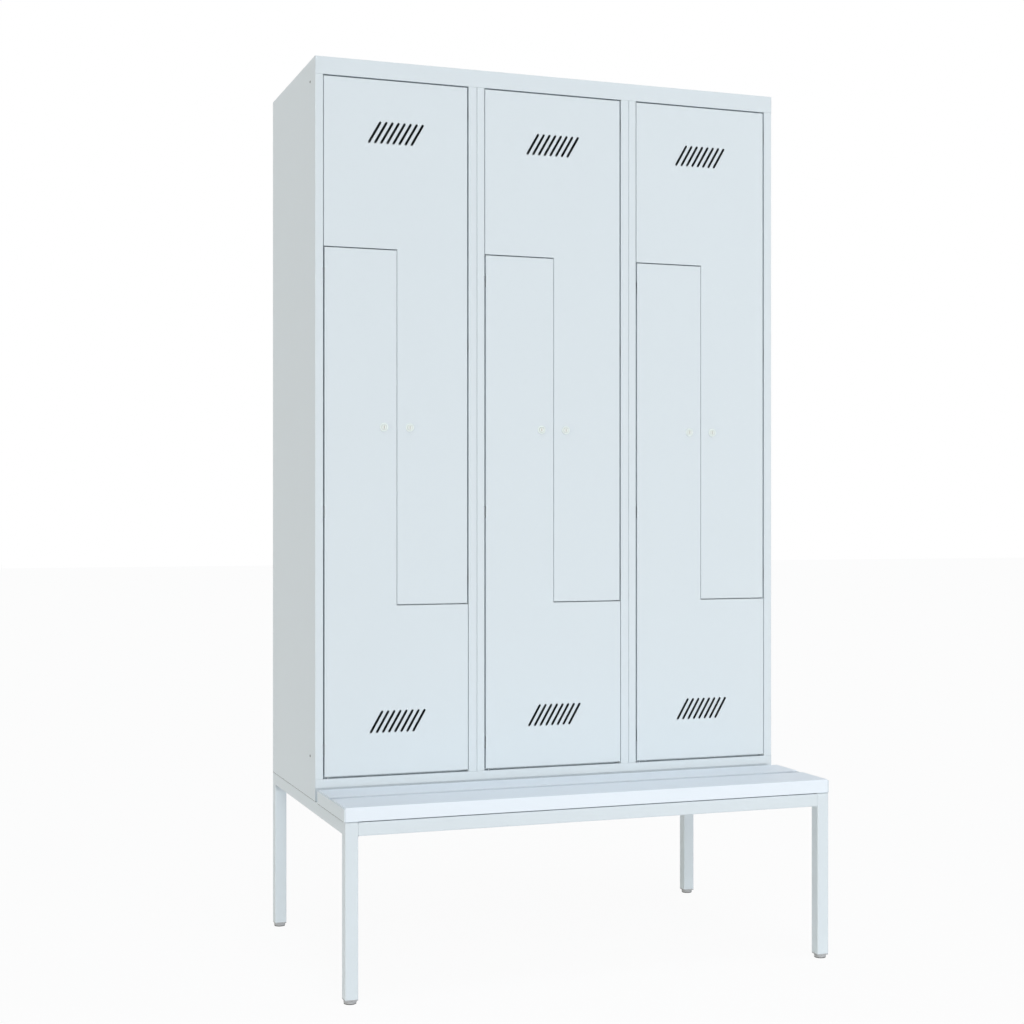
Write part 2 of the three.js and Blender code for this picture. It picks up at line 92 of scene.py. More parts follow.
# %% Wrap sockets and graphs
class Signal:
    """The value at a socket. Sums and products of signals add Math nodes."""

    def __init__(self, graph, socket):
        self.graph = graph
        self.socket = socket

    def _math(self, operation, first, second):
        made = self.graph.node("ShaderNodeMath", {"operation": operation}, {0: first, 1: second})
        return made.out("Value")

    def __add__(self, other):
        return self._math("ADD", self, other)

    def __radd__(self, other):
        return self._math("ADD", other, self)

    def __sub__(self, other):
        return self._math("SUBTRACT", self, other)

    def __rsub__(self, other):
        return self._math("SUBTRACT", other, self)

    def __mul__(self, other):
        return self._math("MULTIPLY", self, other)

    def __rmul__(self, other):
        return self._math("MULTIPLY", other, self)


class Made:
    """A node just added, whose outputs are signals."""

    def __init__(self, graph, node):
        self.graph = graph
        self.node = node

    def out(self, name):
        """The output socket of that name. A Mix node has several alike, so the live one is taken."""
        live = [socket for socket in self.node.outputs if socket.name == name and socket.enabled]
        return Signal(self.graph, live[0])


class Graph:
    """The node tree of a material or of the world."""

    def __init__(self, tree):
        self.tree = tree
        tree.nodes.clear()

    def node(self, kind, settings=None, inputs=None):
        """Adds a node, applies its settings, then fills its sockets by name or number."""
        node = self.tree.nodes.new(kind)
        for name, value in (settings or {}).items():
            setattr(node, name, value)
        for key, value in (inputs or {}).items():
            live = [socket for socket in node.inputs if socket.enabled]
            socket = node.inputs[key] if isinstance(key, int) else next(s for s in live if s.name == key)
            if isinstance(value, Signal):
                self.tree.links.new(value.socket, socket)
            else:
                socket.default_value = value
        return Made(self, node)

    def noise(self, scale, detail=2.0, roughness=0.5):
        """Cloudy noise on object coordinates, with this many grains to the metre."""
        place = self.node("ShaderNodeTexCoord").out("Object")
        settings = {"Vector": place, "Scale": scale, "Detail": detail, "Roughness": roughness}
        return self.node("ShaderNodeTexNoise", {}, settings).out("Fac")

    def blend(self, factor, first, second):
        """A colour between two others."""
        inputs = {"Factor": factor, "A": first, "B": second}
        return self.node("ShaderNodeMix", {"data_type": "RGBA"}, inputs).out("Result")

    def bump(self, height, distance, strength=1.0):
        """A normal that follows a height, whose full step is so many metres."""
        inputs = {"Height": height, "Distance": distance, "Strength": strength}
        return self.node("ShaderNodeBump", {}, inputs).out("Normal")


print("a signal can be added, subtracted and multiplied")


# %% Build a material
def finish_of(name, build, **fixed):
    """A Principled material. Build adds its nodes and returns what varies over the surface."""
    material = bpy.data.materials.new(name)
    material.use_nodes = True
    graph = Graph(material.node_tree)
    inputs = {socket.replace("_", " "): value for socket, value in fixed.items()}
    inputs.update(build(graph))
    shader = graph.node("ShaderNodeBsdfPrincipled", {}, inputs).out("BSDF")
    graph.node("ShaderNodeOutputMaterial", {}, {"Surface": shader})
    return material


print("materials before the finishes:", len(bpy.data.materials))

# %% [markdown]
# ## The finishes
#
# - **Powder coat**: sprayed as dry powder and baked, so it has no brush marks but a very fine
#   orange peel, about a millimetre from crest to crest, and a satin gloss. Its colour is a light
#   grey with a little blue, and it drifts by less than one part in a hundred.
# - **Slat plastic**: whiter, with a fine grain drawn out along the slat.
# - **Nickel** on the locks and **zinc** on rods and rails: bare metal. Zinc is rolled, so its
#   roughness changes in small patches; nickel is polished and only slightly cloudy. The wafers
#   that show in a lock's keyway are **brass**, darkened as painted shade for the keyway's recess.
# - **Grey plastic** for plugs and feet, **black rubber** for the pads under the feet and the plugs in the
#   link holes. The same black makes the thin strips below the body and the end bars, which are
#   painted shadow for the seams.
#
# Noise is counted in grains to the metre. What it changes is a base value plus its share.

# %% Choose the colours
COAT = (0.700, 0.768, 0.806, 1)
COAT_DEEP = (0.690, 0.758, 0.796, 1)
SLAT = (0.812, 0.880, 0.940, 1)
SLAT_DEEP = (0.800, 0.868, 0.930, 1)
NICKEL = (0.88, 0.94, 0.92, 1)
NICKEL_DEEP = (0.82, 0.885, 0.865, 1)
ZINC = (0.62, 0.63, 0.64, 1)
ZINC_DEEP = (0.48, 0.50, 0.52, 1)
GREY = (0.47, 0.48, 0.49, 1)
GREY_DEEP = (0.41, 0.42, 0.43, 1)
# The brass is darkened as painted shade, standing for the shade in the keyway's recess.
BRASS_PAINTED_SHADE = (0.45, 0.42, 0.35, 1)
BRASS_PAINTED_SHADE_DEEP = (0.32, 0.29, 0.24, 1)
# This black also makes the strips in the frame seams, which are painted shadow.
RUBBER_AND_PAINTED_SHADOW = (0.030, 0.030, 0.032, 1)
RUBBER_AND_PAINTED_SHADOW_DEEP = (0.020, 0.020, 0.021, 1)
print("the coat's red, green and blue:", COAT[:3])

# %% Shade coat and slats
SATIN_SPECULAR = 0.4
PEEL_HEIGHT = 0.00005
SLAT_GRAIN_HEIGHT = 0.00004
SLAT_GRAIN_STRETCH = (0.08, 1, 1)


def powder_coat(graph):
    """Roughness = base + share of specks. The height is the peel plus a third of the specks."""
    peel = graph.noise(scale=900.0, detail=1.0)
    specks = graph.noise(scale=3000.0)
    drift = graph.noise(scale=3.0, detail=3.0)
    return {
        "Base Color": graph.blend(drift, COAT_DEEP, COAT),
        "Roughness": 0.38 + specks * 0.14,
        "Normal": graph.bump(peel + specks * 0.3, PEEL_HEIGHT, strength=0.6),
    }


def slat_plastic(graph):
    """A grain drawn out along x: noise at the point (0.08 x, y, z)."""
    place = graph.node("ShaderNodeTexCoord").out("Object")
    stretch = {"Vector": place, "Scale": SLAT_GRAIN_STRETCH}
    drawn_out = graph.node("ShaderNodeMapping", {}, stretch).out("Vector")
    settings = {"Vector": drawn_out, "Scale": 1500.0, "Detail": 3.0}
    grain = graph.node("ShaderNodeTexNoise", {}, settings).out("Fac")
    cloud = graph.noise(scale=7.0)
    return {
        "Base Color": graph.blend(cloud * 0.7 + grain * 0.3, SLAT_DEEP, SLAT),
        "Roughness": 0.36 + grain * 0.16,
        "Normal": graph.bump(grain, SLAT_GRAIN_HEIGHT, strength=0.5),
    }


print("the peel is", PEEL_HEIGHT * 1000, "mm high")

# %% Shade metal and mouldings
SCRATCH_HEIGHT = 0.00001
MOULD_GRAIN_HEIGHT = 0.00006


def bare_metal(light, deep, roughness, patches):
    """Metal in cloudy patches, so many to the metre, with very fine scratches."""

    def build(graph):
        cloud = graph.noise(scale=patches, detail=4.0, roughness=0.6)
        scratches = graph.noise(scale=2200.0, detail=3.0)
        return {
            "Base Color": graph.blend(cloud, deep, light),
            "Roughness": roughness + cloud * 0.12 + scratches * 0.06,
            "Normal": graph.bump(scratches, SCRATCH_HEIGHT, strength=0.4),
        }

    return build


def moulded(light, deep, roughness):
    """Plastic or rubber with the fine grain of its mould."""

    def build(graph):
        grain = graph.noise(scale=1800.0, detail=3.0)
        cloud = graph.noise(scale=60.0)
        return {
            "Base Color": graph.blend(cloud, deep, light),
            "Roughness": roughness + grain * 0.15,
            "Normal": graph.bump(grain, MOULD_GRAIN_HEIGHT, strength=0.5),
        }

    return build


print("scratches are", SCRATCH_HEIGHT * 1000, "mm deep")

# %% Mix the finishes
nickel_plate = bare_metal(NICKEL, NICKEL_DEEP, roughness=0.07, patches=160.0)
# The wafers' dark brass is painted shade for the recess of the keyway.
brass_wafer_painted_shade = bare_metal(BRASS_PAINTED_SHADE, BRASS_PAINTED_SHADE_DEEP, roughness=0.4, patches=300.0)
zinc_plate = bare_metal(ZINC, ZINC_DEEP, roughness=0.34, patches=90.0)

coat = finish_of("powder_coat", powder_coat, Specular_IOR_Level=SATIN_SPECULAR)
slat_white = finish_of("slat_plastic", slat_plastic, Specular_IOR_Level=SATIN_SPECULAR)
nickel = finish_of("nickel_plate", nickel_plate, Metallic=1.0)
brass_painted_shade = finish_of("brass_painted_shade", brass_wafer_painted_shade, Metallic=1.0)
zinc = finish_of("zinc_plate", zinc_plate, Metallic=1.0)
grey_plastic = finish_of("grey_plastic", moulded(GREY, GREY_DEEP, roughness=0.45))
# Black rubber for the foot pads and link plugs, and painted shadow in the frame seams.
black_rubber_and_painted_shadow = finish_of("black_rubber_and_painted_shadow", moulded(RUBBER_AND_PAINTED_SHADOW, RUBBER_AND_PAINTED_SHADOW_DEEP, roughness=0.6))
print("materials with the finishes:", len(bpy.data.materials))

# %% [markdown]
# ## Surfaces
#
# Every piece is made of two kinds of surface. A **grid** is a function of two parameters, such as
# a profile carried along a path or turned round an axis: it is worked out as one array of points,
# and every four neighbours make a face. A **plate** is a flat face with holes, cut into triangles.
#
# Sheet metal is drawn as its outer surface alone, with its bends, and then thickened inwards by
# Solidify. That gives true edges to every slot, notch and flange.

# %% Read boxes and weld points
MM = 0.001
WELD = 0.002 * MM
CREASE = math.radians(30)
STEEL = "painted_steel"
CARCASS = "carcass"


def inside(points, loop):
    """Which points lie inside a loop: a ray from the point crosses its edges an odd number of times."""
    ends = np.roll(loop, -1, axis=0)
    x, y = points[:, :1], points[:, 1:]
    straddles = (loop[:, 1] > y) != (ends[:, 1] > y)
    rise = np.where(ends[:, 1] == loop[:, 1], 1.0, ends[:, 1] - loop[:, 1])
    crossing = loop[:, 0] + (y - loop[:, 1]) * (ends[:, 0] - loop[:, 0]) / rise
    return (straddles & (x < crossing)).sum(axis=1) % 2 == 1


def low_high(node):
    """The two corners of a CAD node's box, in metres."""
    low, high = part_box(node)
    return np.array(low), np.array(high)


def middle_of(node, *axes):
    """The middle of a CAD node's box on the given axes, 0 for x, 1 for y and 2 for z."""
    low, high = low_high(node)
    return ((low + high) / 2)[list(axes)]


def welded(points, faces, facing=None):
    """A clean mesh of points and faces. A closed one faces outwards, an open one towards `facing`."""
    mesh = bmesh.new()
    draft = bpy.data.meshes.new("draft")
    draft.from_pydata(points.tolist(), [], faces)
    mesh.from_mesh(draft)
    bpy.data.meshes.remove(draft)
    bmesh.ops.remove_doubles(mesh, verts=mesh.verts, dist=WELD)
    bmesh.ops.dissolve_degenerate(mesh, edges=mesh.edges, dist=WELD)
    bmesh.ops.recalc_face_normals(mesh, faces=mesh.faces)
    if facing is not None:
        total = sum((face.normal * face.calc_area() for face in mesh.faces), Vector())
        if total.dot(Vector(facing)) < 0:
            bmesh.ops.reverse_faces(mesh, faces=mesh.faces)
    return mesh


print("points closer than", WELD / MM, "mm become one")


# %% Gather surfaces into a mesh
class Surface:
    """Points and faces gathered from grids and plates."""

    def __init__(self):
        self.points = np.zeros((0, 3))
        self.faces = []

    def add(self, points, faces):
        """More points, and faces that number them from zero."""
        shift = len(self.points)
        self.points = np.concatenate([self.points, np.reshape(points, (-1, 3))])
        self.faces += [tuple(number + shift for number in face) for face in faces]
        return self

    def grid(self, points, keep=None, around=False, closed=False):
        """A surface P(i, j): four neighbours make a quad. It may close around j, or over i."""
        rows, columns = points.shape[:2]
        i, j = np.meshgrid(
            np.arange(rows if closed else rows - 1),
            np.arange(columns if around else columns - 1),
            indexing="ij",
        )
        over, on = (i + 1) % rows, (j + 1) % columns
        corners = [i * columns + j, i * columns + on, over * columns + on, over * columns + j]
        quads = np.stack(corners, axis=-1)
        chosen = quads if keep is None else quads[keep]
        return self.add(points, chosen.reshape(-1, 4).tolist())

    def lid(self, loop):
        """One flat face over a loop of points."""
        return self.add(loop, [tuple(range(len(loop)))])

    def plate(self, rim, holes, place):
        """A flat face inside a rim and outside its holes; place turns two columns into three."""
        loops = [np.asarray(rim), *map(np.asarray, holes)]
        starts = np.cumsum([0] + [len(loop) for loop in loops])
        edges = [
            pair
            for start, loop in zip(starts, loops)
            for pair in zip(range(start, start + len(loop)), [*range(start + 1, start + len(loop)), start])
        ]
        flat = [Vector(point) for point in np.concatenate(loops).tolist()]
        found = delaunay_2d_cdt(flat, edges, [], 0, WELD / 10)
        corners = np.array([tuple(point) for point in found[0]])
        triangles = np.array(found[2])
        middles = corners[triangles].mean(axis=1)
        kept = inside(middles, loops[0])
        for hole in loops[1:]:
            kept &= ~inside(middles, hole)
        return self.add(place(corners), triangles[kept].tolist())

    def thick(self, thickness, facing):
        """The same surface as sheet metal, thickened away from the side that it faces."""
        mesh = welded(self.points, self.faces, facing)
        skin = bpy.data.meshes.new("skin")
        mesh.to_mesh(skin)
        mesh.free()
        holder = bpy.data.objects.new("skin", skin)
        bpy.context.scene.collection.objects.link(holder)
        wall = holder.modifiers.new("thickness", "SOLIDIFY")
        wall.thickness = thickness
        wall.offset = -1
        wall.use_even_offset = True
        depsgraph = bpy.context.evaluated_depsgraph_get()
        grown = bpy.data.meshes.new_from_object(holder.evaluated_get(depsgraph))
        points = np.zeros(len(grown.vertices) * 3)
        grown.vertices.foreach_get("co", points)
        faces = [tuple(polygon.vertices) for polygon in grown.polygons]
        bpy.data.objects.remove(holder)
        bpy.data.meshes.remove(skin)
        bpy.data.meshes.remove(grown)
        result = Surface()
        return result.add(points, faces)

    def join(self, *others):
        """Takes in the points and faces of other surfaces."""
        for other in others:
            self.add(other.points, other.faces)
        return self

    def make(self, name, finish, body, slot, replaces=()):
        """The finished piece: welded, shaded, riding on its body and standing for its CAD nodes."""
        mesh = bpy.data.meshes.new(name)
        clean = welded(self.points, self.faces)
        clean.to_mesh(mesh)
        clean.free()
        mesh.polygons.foreach_set("use_smooth", np.ones(len(mesh.polygons), bool))
        mesh.set_sharp_from_angle(angle=CREASE)
        mesh.materials.append(finish)
        piece = bpy.data.objects.new(name, mesh)
        bpy.context.scene.collection.objects.link(piece)
        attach(piece, body)
        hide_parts(*replaces)
        return piece


print("three points make", len(Surface().lid(np.eye(3)).faces), "face")


# %% Close a solid, or face the front
def solid(rings):
    """A closed solid from rings of points: its sides, and a flat lid on the first and last ring."""
    return Surface().grid(rings, around=True).lid(rings[0]).lid(rings[-1])


def facing_front(depth):
    """Turns two columns into x and z of a face that looks forward, at y = depth."""
    return lambda flat: np.stack([flat[:, 0], np.full(len(flat), depth), flat[:, 1]], axis=1)


print("two rings of four points make", len(solid(np.zeros((2, 4, 3))).faces), "faces")

# %% [markdown]
# ## Profiles
#
# A folded sheet is a polyline whose corners are arcs. On the outer side of a bend the radius is
# the bend radius; where the sheet turns the other way, the same surface is on the inner side, so
# its radius is less by the sheet's thickness. A short straight piece next to each arc keeps the
# big flat faces shaded flat.

# %% Bend and round profiles
SHEET = 1.0 * MM
BEND = 1.15 * MM
SUPPORT = 0.6 * MM
BEND_STEPS = 4
ROUND_STEPS = 32


def bent(corners, radius=BEND, thickness=SHEET, steps=BEND_STEPS):
    """A polyline with an arc at each inner corner. At a corner that turns by an angle a, an arc of
    radius r starts and ends r tan(a / 2) from the corner."""
    corners = np.asarray(corners, float)
    ahead = np.diff(corners, axis=0)
    ahead /= np.linalg.norm(ahead, axis=1, keepdims=True)
    a, b = ahead[:-1], ahead[1:]
    turn = np.arctan2(a[:, 0] * b[:, 1] - a[:, 1] * b[:, 0], (a * b).sum(axis=1))
    r = np.where(turn < 0, radius, radius - thickness)[:, None]
    left = np.stack([-a[:, 1], a[:, 0]], axis=1) * np.sign(turn)[:, None]
    reach = r * np.tan(np.abs(turn) / 2)[:, None]
    start = corners[1:-1] - a * reach
    angle = np.linspace(0, 1, steps + 1)[None, :, None] * turn[:, None, None]
    spoke = (-left * r)[:, None, :]
    side = np.stack([-spoke[..., 1], spoke[..., 0]], axis=-1)
    arcs = (start + left * r)[:, None, :] + spoke * np.cos(angle) + side * np.sin(angle)
    before = (start - a * SUPPORT)[:, None, :]
    after = (corners[1:-1] + b * (reach + SUPPORT))[:, None, :]
    return np.concatenate([corners[:1], *np.concatenate([before, arcs, after], axis=1), corners[-1:]])


def rounded_rectangle(low, high, radius, steps=BEND_STEPS):
    """A closed loop with a quarter circle at each corner, and a support point on either side. The
    radius may be one for all, or four: lower right, upper right, upper left, lower left."""
    low, high = np.asarray(low, float), np.asarray(high, float)
    r = np.broadcast_to(radius, 4).astype(float)[:, None]
    corners = np.array([[high[0], low[1]], high, [low[0], high[1]], low])
    centres = corners + r * np.array([[-1, 1], [-1, -1], [1, -1], [1, 1]])
    angle = (np.arange(4)[:, None] - 1 + np.linspace(0, 1, steps + 1)) * np.pi / 2
    arcs = centres[:, None] + r[:, None] * np.stack([np.cos(angle), np.sin(angle)], axis=-1)
    ahead = np.array([[0, 1], [-1, 0], [0, -1], [1, 0]]) * SUPPORT
    behind = np.roll(ahead, 1, axis=0)
    loop = np.concatenate([(arcs[:, 0] - behind)[:, None], arcs, (arcs[:, -1] + ahead)[:, None]], axis=1)
    return loop.reshape(-1, 2)


def circle(centre, radius, steps=ROUND_STEPS):
    """Points c + r (cos t, sin t)."""
    angle = np.arange(steps) * 2 * np.pi / steps
    return np.asarray(centre) + radius * np.stack([np.cos(angle), np.sin(angle)], axis=1)


def capsule(centre, length, width, slant=0.0, steps=8):
    """A slot with round ends: two half circles of its width, drawn apart and slanted to the right."""
    half = np.linspace(0, np.pi, steps + 1)
    arc = np.stack([np.cos(half), np.sin(half)], axis=1) * width / 2
    reach = np.array([0, (length - width) / 2])
    loop = np.concatenate([arc + reach, -arc - reach])
    cosine, sine = math.cos(slant), math.sin(slant)
    return np.asarray(centre) + loop @ np.array([[cosine, -sine], [sine, cosine]])


print("a bend of", BEND / MM, "mm is drawn in", BEND_STEPS, "steps")


# %% Carry and turn profiles
def along(axis, profile, places):
    """A profile carried straight along an axis: row i is the profile at places[i]."""
    profile, places = np.asarray(profile, float), np.asarray(places, float)
    rows = np.broadcast_to(profile, (len(places), *profile.shape))
    far = np.broadcast_to(places[:, None, None], (*rows.shape[:2], 1))
    columns = {"x": (far, rows), "z": (rows, far), "y": (rows[..., :1], far, rows[..., 1:])}
    return np.concatenate(columns[axis], axis=-1)


def turned(axis, centre, profile, steps=ROUND_STEPS, ripple=None):
    """A profile of radii and places turned round an axis: P = centre + r (cos t, sin t). A ripple
    scales the radii by a function of t, as for a hexagon or a knurled edge."""
    profile = np.asarray(profile, float)
    angle = np.arange(steps) * 2 * np.pi / steps
    scale = np.ones(steps) if ripple is None else ripple(angle)
    across = profile[:, None, :1] * (scale[:, None] * np.stack([np.cos(angle), np.sin(angle)], axis=1))
    across = across + np.asarray(centre)
    far = np.broadcast_to(profile[:, None, 1:], (*across.shape[:2], 1))
    columns = {"x": (far, across), "z": (across, far), "y": (across[..., :1], far, across[..., 1:])}
    return np.concatenate(columns[axis], axis=-1)


def hexagon(angle):
    """The radius of a hexagon as a share of its corner radius: cos 30 over cos of the angle from a
    flat's middle."""
    return math.cos(math.pi / 6) / np.cos((angle % (math.pi / 3)) - math.pi / 6)


def softened(profile, radius, steps=3):
    """A turned profile whose sharp corners are small arcs."""
    return bent(profile, radius, 0.0, steps)


def solid_turn(surface, axis, centre, profile, **options):
    """Adds a turned solid whose profile starts and ends near the axis, with flat lids."""
    points = turned(axis, centre, profile, **options)
    return surface.grid(points, around=True).lid(points[0]).lid(points[-1])


print("a hexagon's flats stand at", round(float(hexagon(math.pi / 6)), 3), "of its corners' radius")

# %% [markdown]
# ## The tube frame
#
# Legs and rails are 30 mm square tube with rounded corners. The legs are closed at the top, and
# the rails butt against them. The welder grinds the front flat, where the photograph shows only
# a hairline, but leaves a bead underneath and inside.

# %% Draw tubes and blocks
TUBE_CORNER = 2.5 * MM
TUBE_WALL = 1.5 * MM
EDGE = 0.4 * MM


def tube(low, high, axis, places):
    """Square tube: its outline carried along, then its bore carried back."""
    bore_low, bore_high = np.add(low, TUBE_WALL), np.subtract(high, TUBE_WALL)
    outside = rounded_rectangle(low, high, TUBE_CORNER)
    bore = rounded_rectangle(bore_low, bore_high, TUBE_CORNER - TUBE_WALL)
    loops = [along(axis, outside, places), along(axis, bore, places[::-1])]
    return Surface().grid(np.concatenate(loops), around=True, closed=True)


def block_with_round_edges(low, high, radius, steps=2):
    """A box whose upright edges are round and whose top and bottom edges are drawn in by an arc:
    at an angle t the ring is inset by r (1 - sin t), at r (1 - cos t) from the end."""
    low, high = np.asarray(low, float), np.asarray(high, float)
    angle = np.linspace(0, np.pi / 2, steps + 1)
    inset = radius * (1 - np.sin(angle))
    rise = radius * (1 - np.cos(angle))
    straight = radius + SUPPORT
    insets = np.concatenate([inset, [0, 0], inset[::-1]])
    middle = [low[2] + straight, high[2] - straight]
    heights = np.concatenate([low[2] + rise, middle, high[2] - rise[::-1]])
    corner = radius + TUBE_CORNER
    rings = [rounded_rectangle(low[:2] + n, high[:2] - n, corner - n, steps) for n in insets]
    far = np.broadcast_to(heights[:, None, None], (len(rings), len(rings[0]), 1))
    return solid(np.concatenate([np.stack(rings), far], axis=-1))


print("tube with a wall of", TUBE_WALL / MM, "mm")

# %% [markdown]
# ## The welds
#
# A bead is a small round profile carried along the joint, whose radius swells and shrinks as the
# weld pool did: r = r0 (1 + 0.15 cos(2 pi s / pitch)). On an outer side the groove beside the
# leg's round corner is filled and ground flush, by a prism with four sides.

# %% Draw welds
BEAD = 1.0 * MM
BEAD_PITCH = 2.2 * MM
BEAD_SWELL = 0.15
BEAD_SIDES = 6
BEAD_STEPS_PER_PITCH = 3
BEAD_INSET = 3 * MM
JOINT_SEAM = 0.3 * MM
GROUND_DEPTHS = np.array([0.02, 0.02, 2.6, 3.0]) * MM
GROUND_REACHES = np.array([2.2, 0.0, 0.0, 0.6]) * MM
frame_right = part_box("leg_front_right")[1][0]
frame_front = abs(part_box("leg_front_left")[0][1])
FRAME_REACH = np.array([frame_right, frame_front])


def weld_bead(start, end, across, out):
    """A bead along a straight line: P(s, t) = start + s ahead + r(s) (cos t across + sin t out)."""
    start, end = np.asarray(start, float), np.asarray(end, float)
    length = np.linalg.norm(end - start)
    steps = max(int(length / BEAD_PITCH * BEAD_STEPS_PER_PITCH), BEAD_STEPS_PER_PITCH)
    s = np.linspace(0, length, steps)[:, None]
    line = start + (end - start) * s / length
    radius = BEAD * (1 + BEAD_SWELL * np.cos(2 * np.pi * s / BEAD_PITCH))
    angle = np.linspace(0, 2 * np.pi, BEAD_SIDES, endpoint=False)[None, :, None]
    ring = np.cos(angle) * np.asarray(across, float) + np.sin(angle) * np.asarray(out, float)
    return solid(line[:, None] + radius[:, None] * ring)


def ground_corner(face, inward, plane, backward, low, high, a, far):
    """An upright prism that fills a leg's round corner out to its two flat faces: four points at
    given depths behind one face and reaches behind the other."""
    outline = np.zeros((4, 2))
    outline[:, 0 if a == 0 else 1] = face + inward * GROUND_DEPTHS
    outline[:, 0 if far == 0 else 1] = plane + backward * GROUND_REACHES
    return solid(along("z", outline, [low[2] + TUBE_CORNER, high[2] - TUBE_CORNER]))


def build_welds(name, low, high, a, far):
    """Welds at both ends of a rail: a bead underneath, and one up each side that the frame hides,
    or a ground corner on an outer side. Axis a runs across the rail, and far runs along it."""
    along_a, ahead, up = np.eye(3)[a], np.eye(3)[far], np.eye(3)[2]
    upright = high[2] - low[2] - 2 * BEAD_INSET
    welds = Surface()
    for place, inwards in ((low[far], 1), (high[far], -1)):
        ends = (low[a] + BEAD_INSET, high[a] - BEAD_INSET)
        under = [along_a * side + ahead * place + up * low[2] for side in ends]
        welds.join(weld_bead(*under, ahead, up))
        for side, out in ((low[a], -1), (high[a], 1)):
            foot = along_a * side + ahead * place + up * (low[2] + BEAD_INSET)
            if abs(side) < FRAME_REACH[a] - TUBE_CORNER:
                welds.join(weld_bead(foot, foot + up * upright, ahead, along_a))
            else:
                plane = place - inwards * JOINT_SEAM
                welds.join(ground_corner(side, -out, plane, -inwards, low, high, a, far))
    welds.make(f"{name}_welds", coat, CARCASS, STEEL)


print("a bead has", BEAD_SIDES, "sides and", BEAD_STEPS_PER_PITCH, "rings to a ripple")

# %% [markdown]
# ## Legs and rails
#
# A leg is a tube with a flat cap, and its lower end is closed by a grey plastic plug. The rim of
# the plug shows below the tube. Every rail is the same tube, carried along its own axis.

# %% Build legs and rails
PLUG_RIM = 3.0 * MM
LEGS = [(end, side) for end in ("front", "rear") for side in ("left", "right")]
RAILS = {
    "frame_front_rail": "x",
    "frame_middle_rail": "x",
    "frame_rear_rail": "x",
    "frame_left_rail": "y",
    "frame_right_rail": "y",
    "seat_bearer": "y",
}


def build_leg(end, side):
    """A square tube with a flat cap, and a plastic plug whose rim shows below it."""
    name = f"leg_{end}_{side}"
    low, high = low_high(name)
    foot_low = low[2] + PLUG_RIM
    wall = tube(low[:2], high[:2], "z", [foot_low, foot_low + SUPPORT, high[2] - TUBE_WALL])
    cap = block_with_round_edges([*low[:2], high[2] - TUBE_WALL], high, EDGE)
    wall.join(cap).make(f"{name}_tube", coat, CARCASS, STEEL, [name])
    plug = block_with_round_edges(low, [*high[:2], foot_low], EDGE)
    plug.make(f"{name}_plug", grey_plastic, CARCASS, "grey_plastic")


def build_rail(name, axis):
    """A tube along x or y. Its section's axes come first in the order, its own axis last."""
    low, high = low_high(name)
    a, b, far = {"x": (1, 2, 0), "y": (0, 2, 1)}[axis]
    places = [low[far], low[far] + SUPPORT, high[far] - SUPPORT, high[far]]
    rail = tube(low[[a, b]], high[[a, b]], axis, places)
    rail.make(f"{name}_tube", coat, CARCASS, STEEL, [name])
    build_welds(name, low, high, a, far)


for end, side in LEGS:
    build_leg(end, side)
for rail_name, rail_axis in RAILS.items():
    build_rail(rail_name, rail_axis)
print(len(LEGS), "legs and", len(RAILS), "rails")

# %% [markdown]
# ## The levelling feet
#
# Each foot is a moulded disc that tapers to a rubber pad, on a threaded stem that screws into the
# leg's plug. The thread shows when the foot is screwed out, so it is a real helix: at an angle t
# and height z the radius is r0 - a |2 w - 1|, where w is the part of z / pitch - t / 2 pi after
# the point.

# %% Build the feet
FOOT_DISC_RISE = 7.7 * MM
FOOT_EDGE = 0.8 * MM
FOOT_TAPER = 0.5 * MM
FOOT_LID = 1 * MM
FOOT_SIDES = 48
PAD_RISE = 1.6 * MM
PAD_INSET = 0.2 * MM
STEM_RADIUS = 4.0 * MM
THREAD_DEPTH = 0.55 * MM
THREAD_PITCH = 1.25 * MM
THREAD_SIDES = 24
THREAD_ROWS_PER_PITCH = 4


def threaded_stem(centre, low, high):
    """P(z, t) = centre + r (cos t, sin t), with the thread's r = r0 - a |2 w - 1|."""
    rows = int((high - low) / THREAD_PITCH * THREAD_ROWS_PER_PITCH) + 1
    z = np.linspace(low, high, rows)[:, None]
    angle = np.arange(THREAD_SIDES)[None] * 2 * np.pi / THREAD_SIDES
    turn = (z / THREAD_PITCH - angle / (2 * np.pi)) % 1
    radius = STEM_RADIUS - THREAD_DEPTH * np.abs(2 * turn - 1)
    x = centre[0] + radius * np.cos(angle)
    y = centre[1] + radius * np.sin(angle)
    return solid(np.stack([x, y, np.broadcast_to(z, x.shape)], axis=-1))


def foot_turned(centre, profile):
    """A profile of radii and heights with soft corners, turned about the foot's upright axis."""
    soft = softened(profile, FOOT_EDGE / 2)
    return solid_turn(Surface(), "z", centre, soft, steps=FOOT_SIDES)


def build_foot(end, side):
    """A turned disc on a threaded stem, and a rubber pad under it. Returns the stem."""
    name = f"foot_{end}_{side}"
    low, high = low_high(name)
    centre = middle_of(name, 0, 1)
    radius = (high[0] - low[0]) / 2
    top, neck = low[2] + FOOT_DISC_RISE, low[2] + PAD_RISE
    base = radius - FOOT_TAPER
    side_of_disc = [[base, neck], [radius, top - 3 * FOOT_EDGE], [radius, top]]
    disc = foot_turned(centre, [[FOOT_LID, neck], *side_of_disc, [STEM_RADIUS, top]])
    stem = threaded_stem(centre, top - SUPPORT, high[2])
    disc.join(stem).make(f"{name}_screw", grey_plastic, name, "grey_plastic", [name])
    rim = base - PAD_INSET
    pad = foot_turned(centre, [[FOOT_LID, low[2]], [rim, low[2]], [rim, neck], [FOOT_LID, neck]])
    pad.make(f"{name}_pad", black_rubber_and_painted_shadow, name, "grey_plastic")
    return stem


for end, side in LEGS:
    stem = build_foot(end, side)
print("a threaded stem has", len(stem.points), "points")
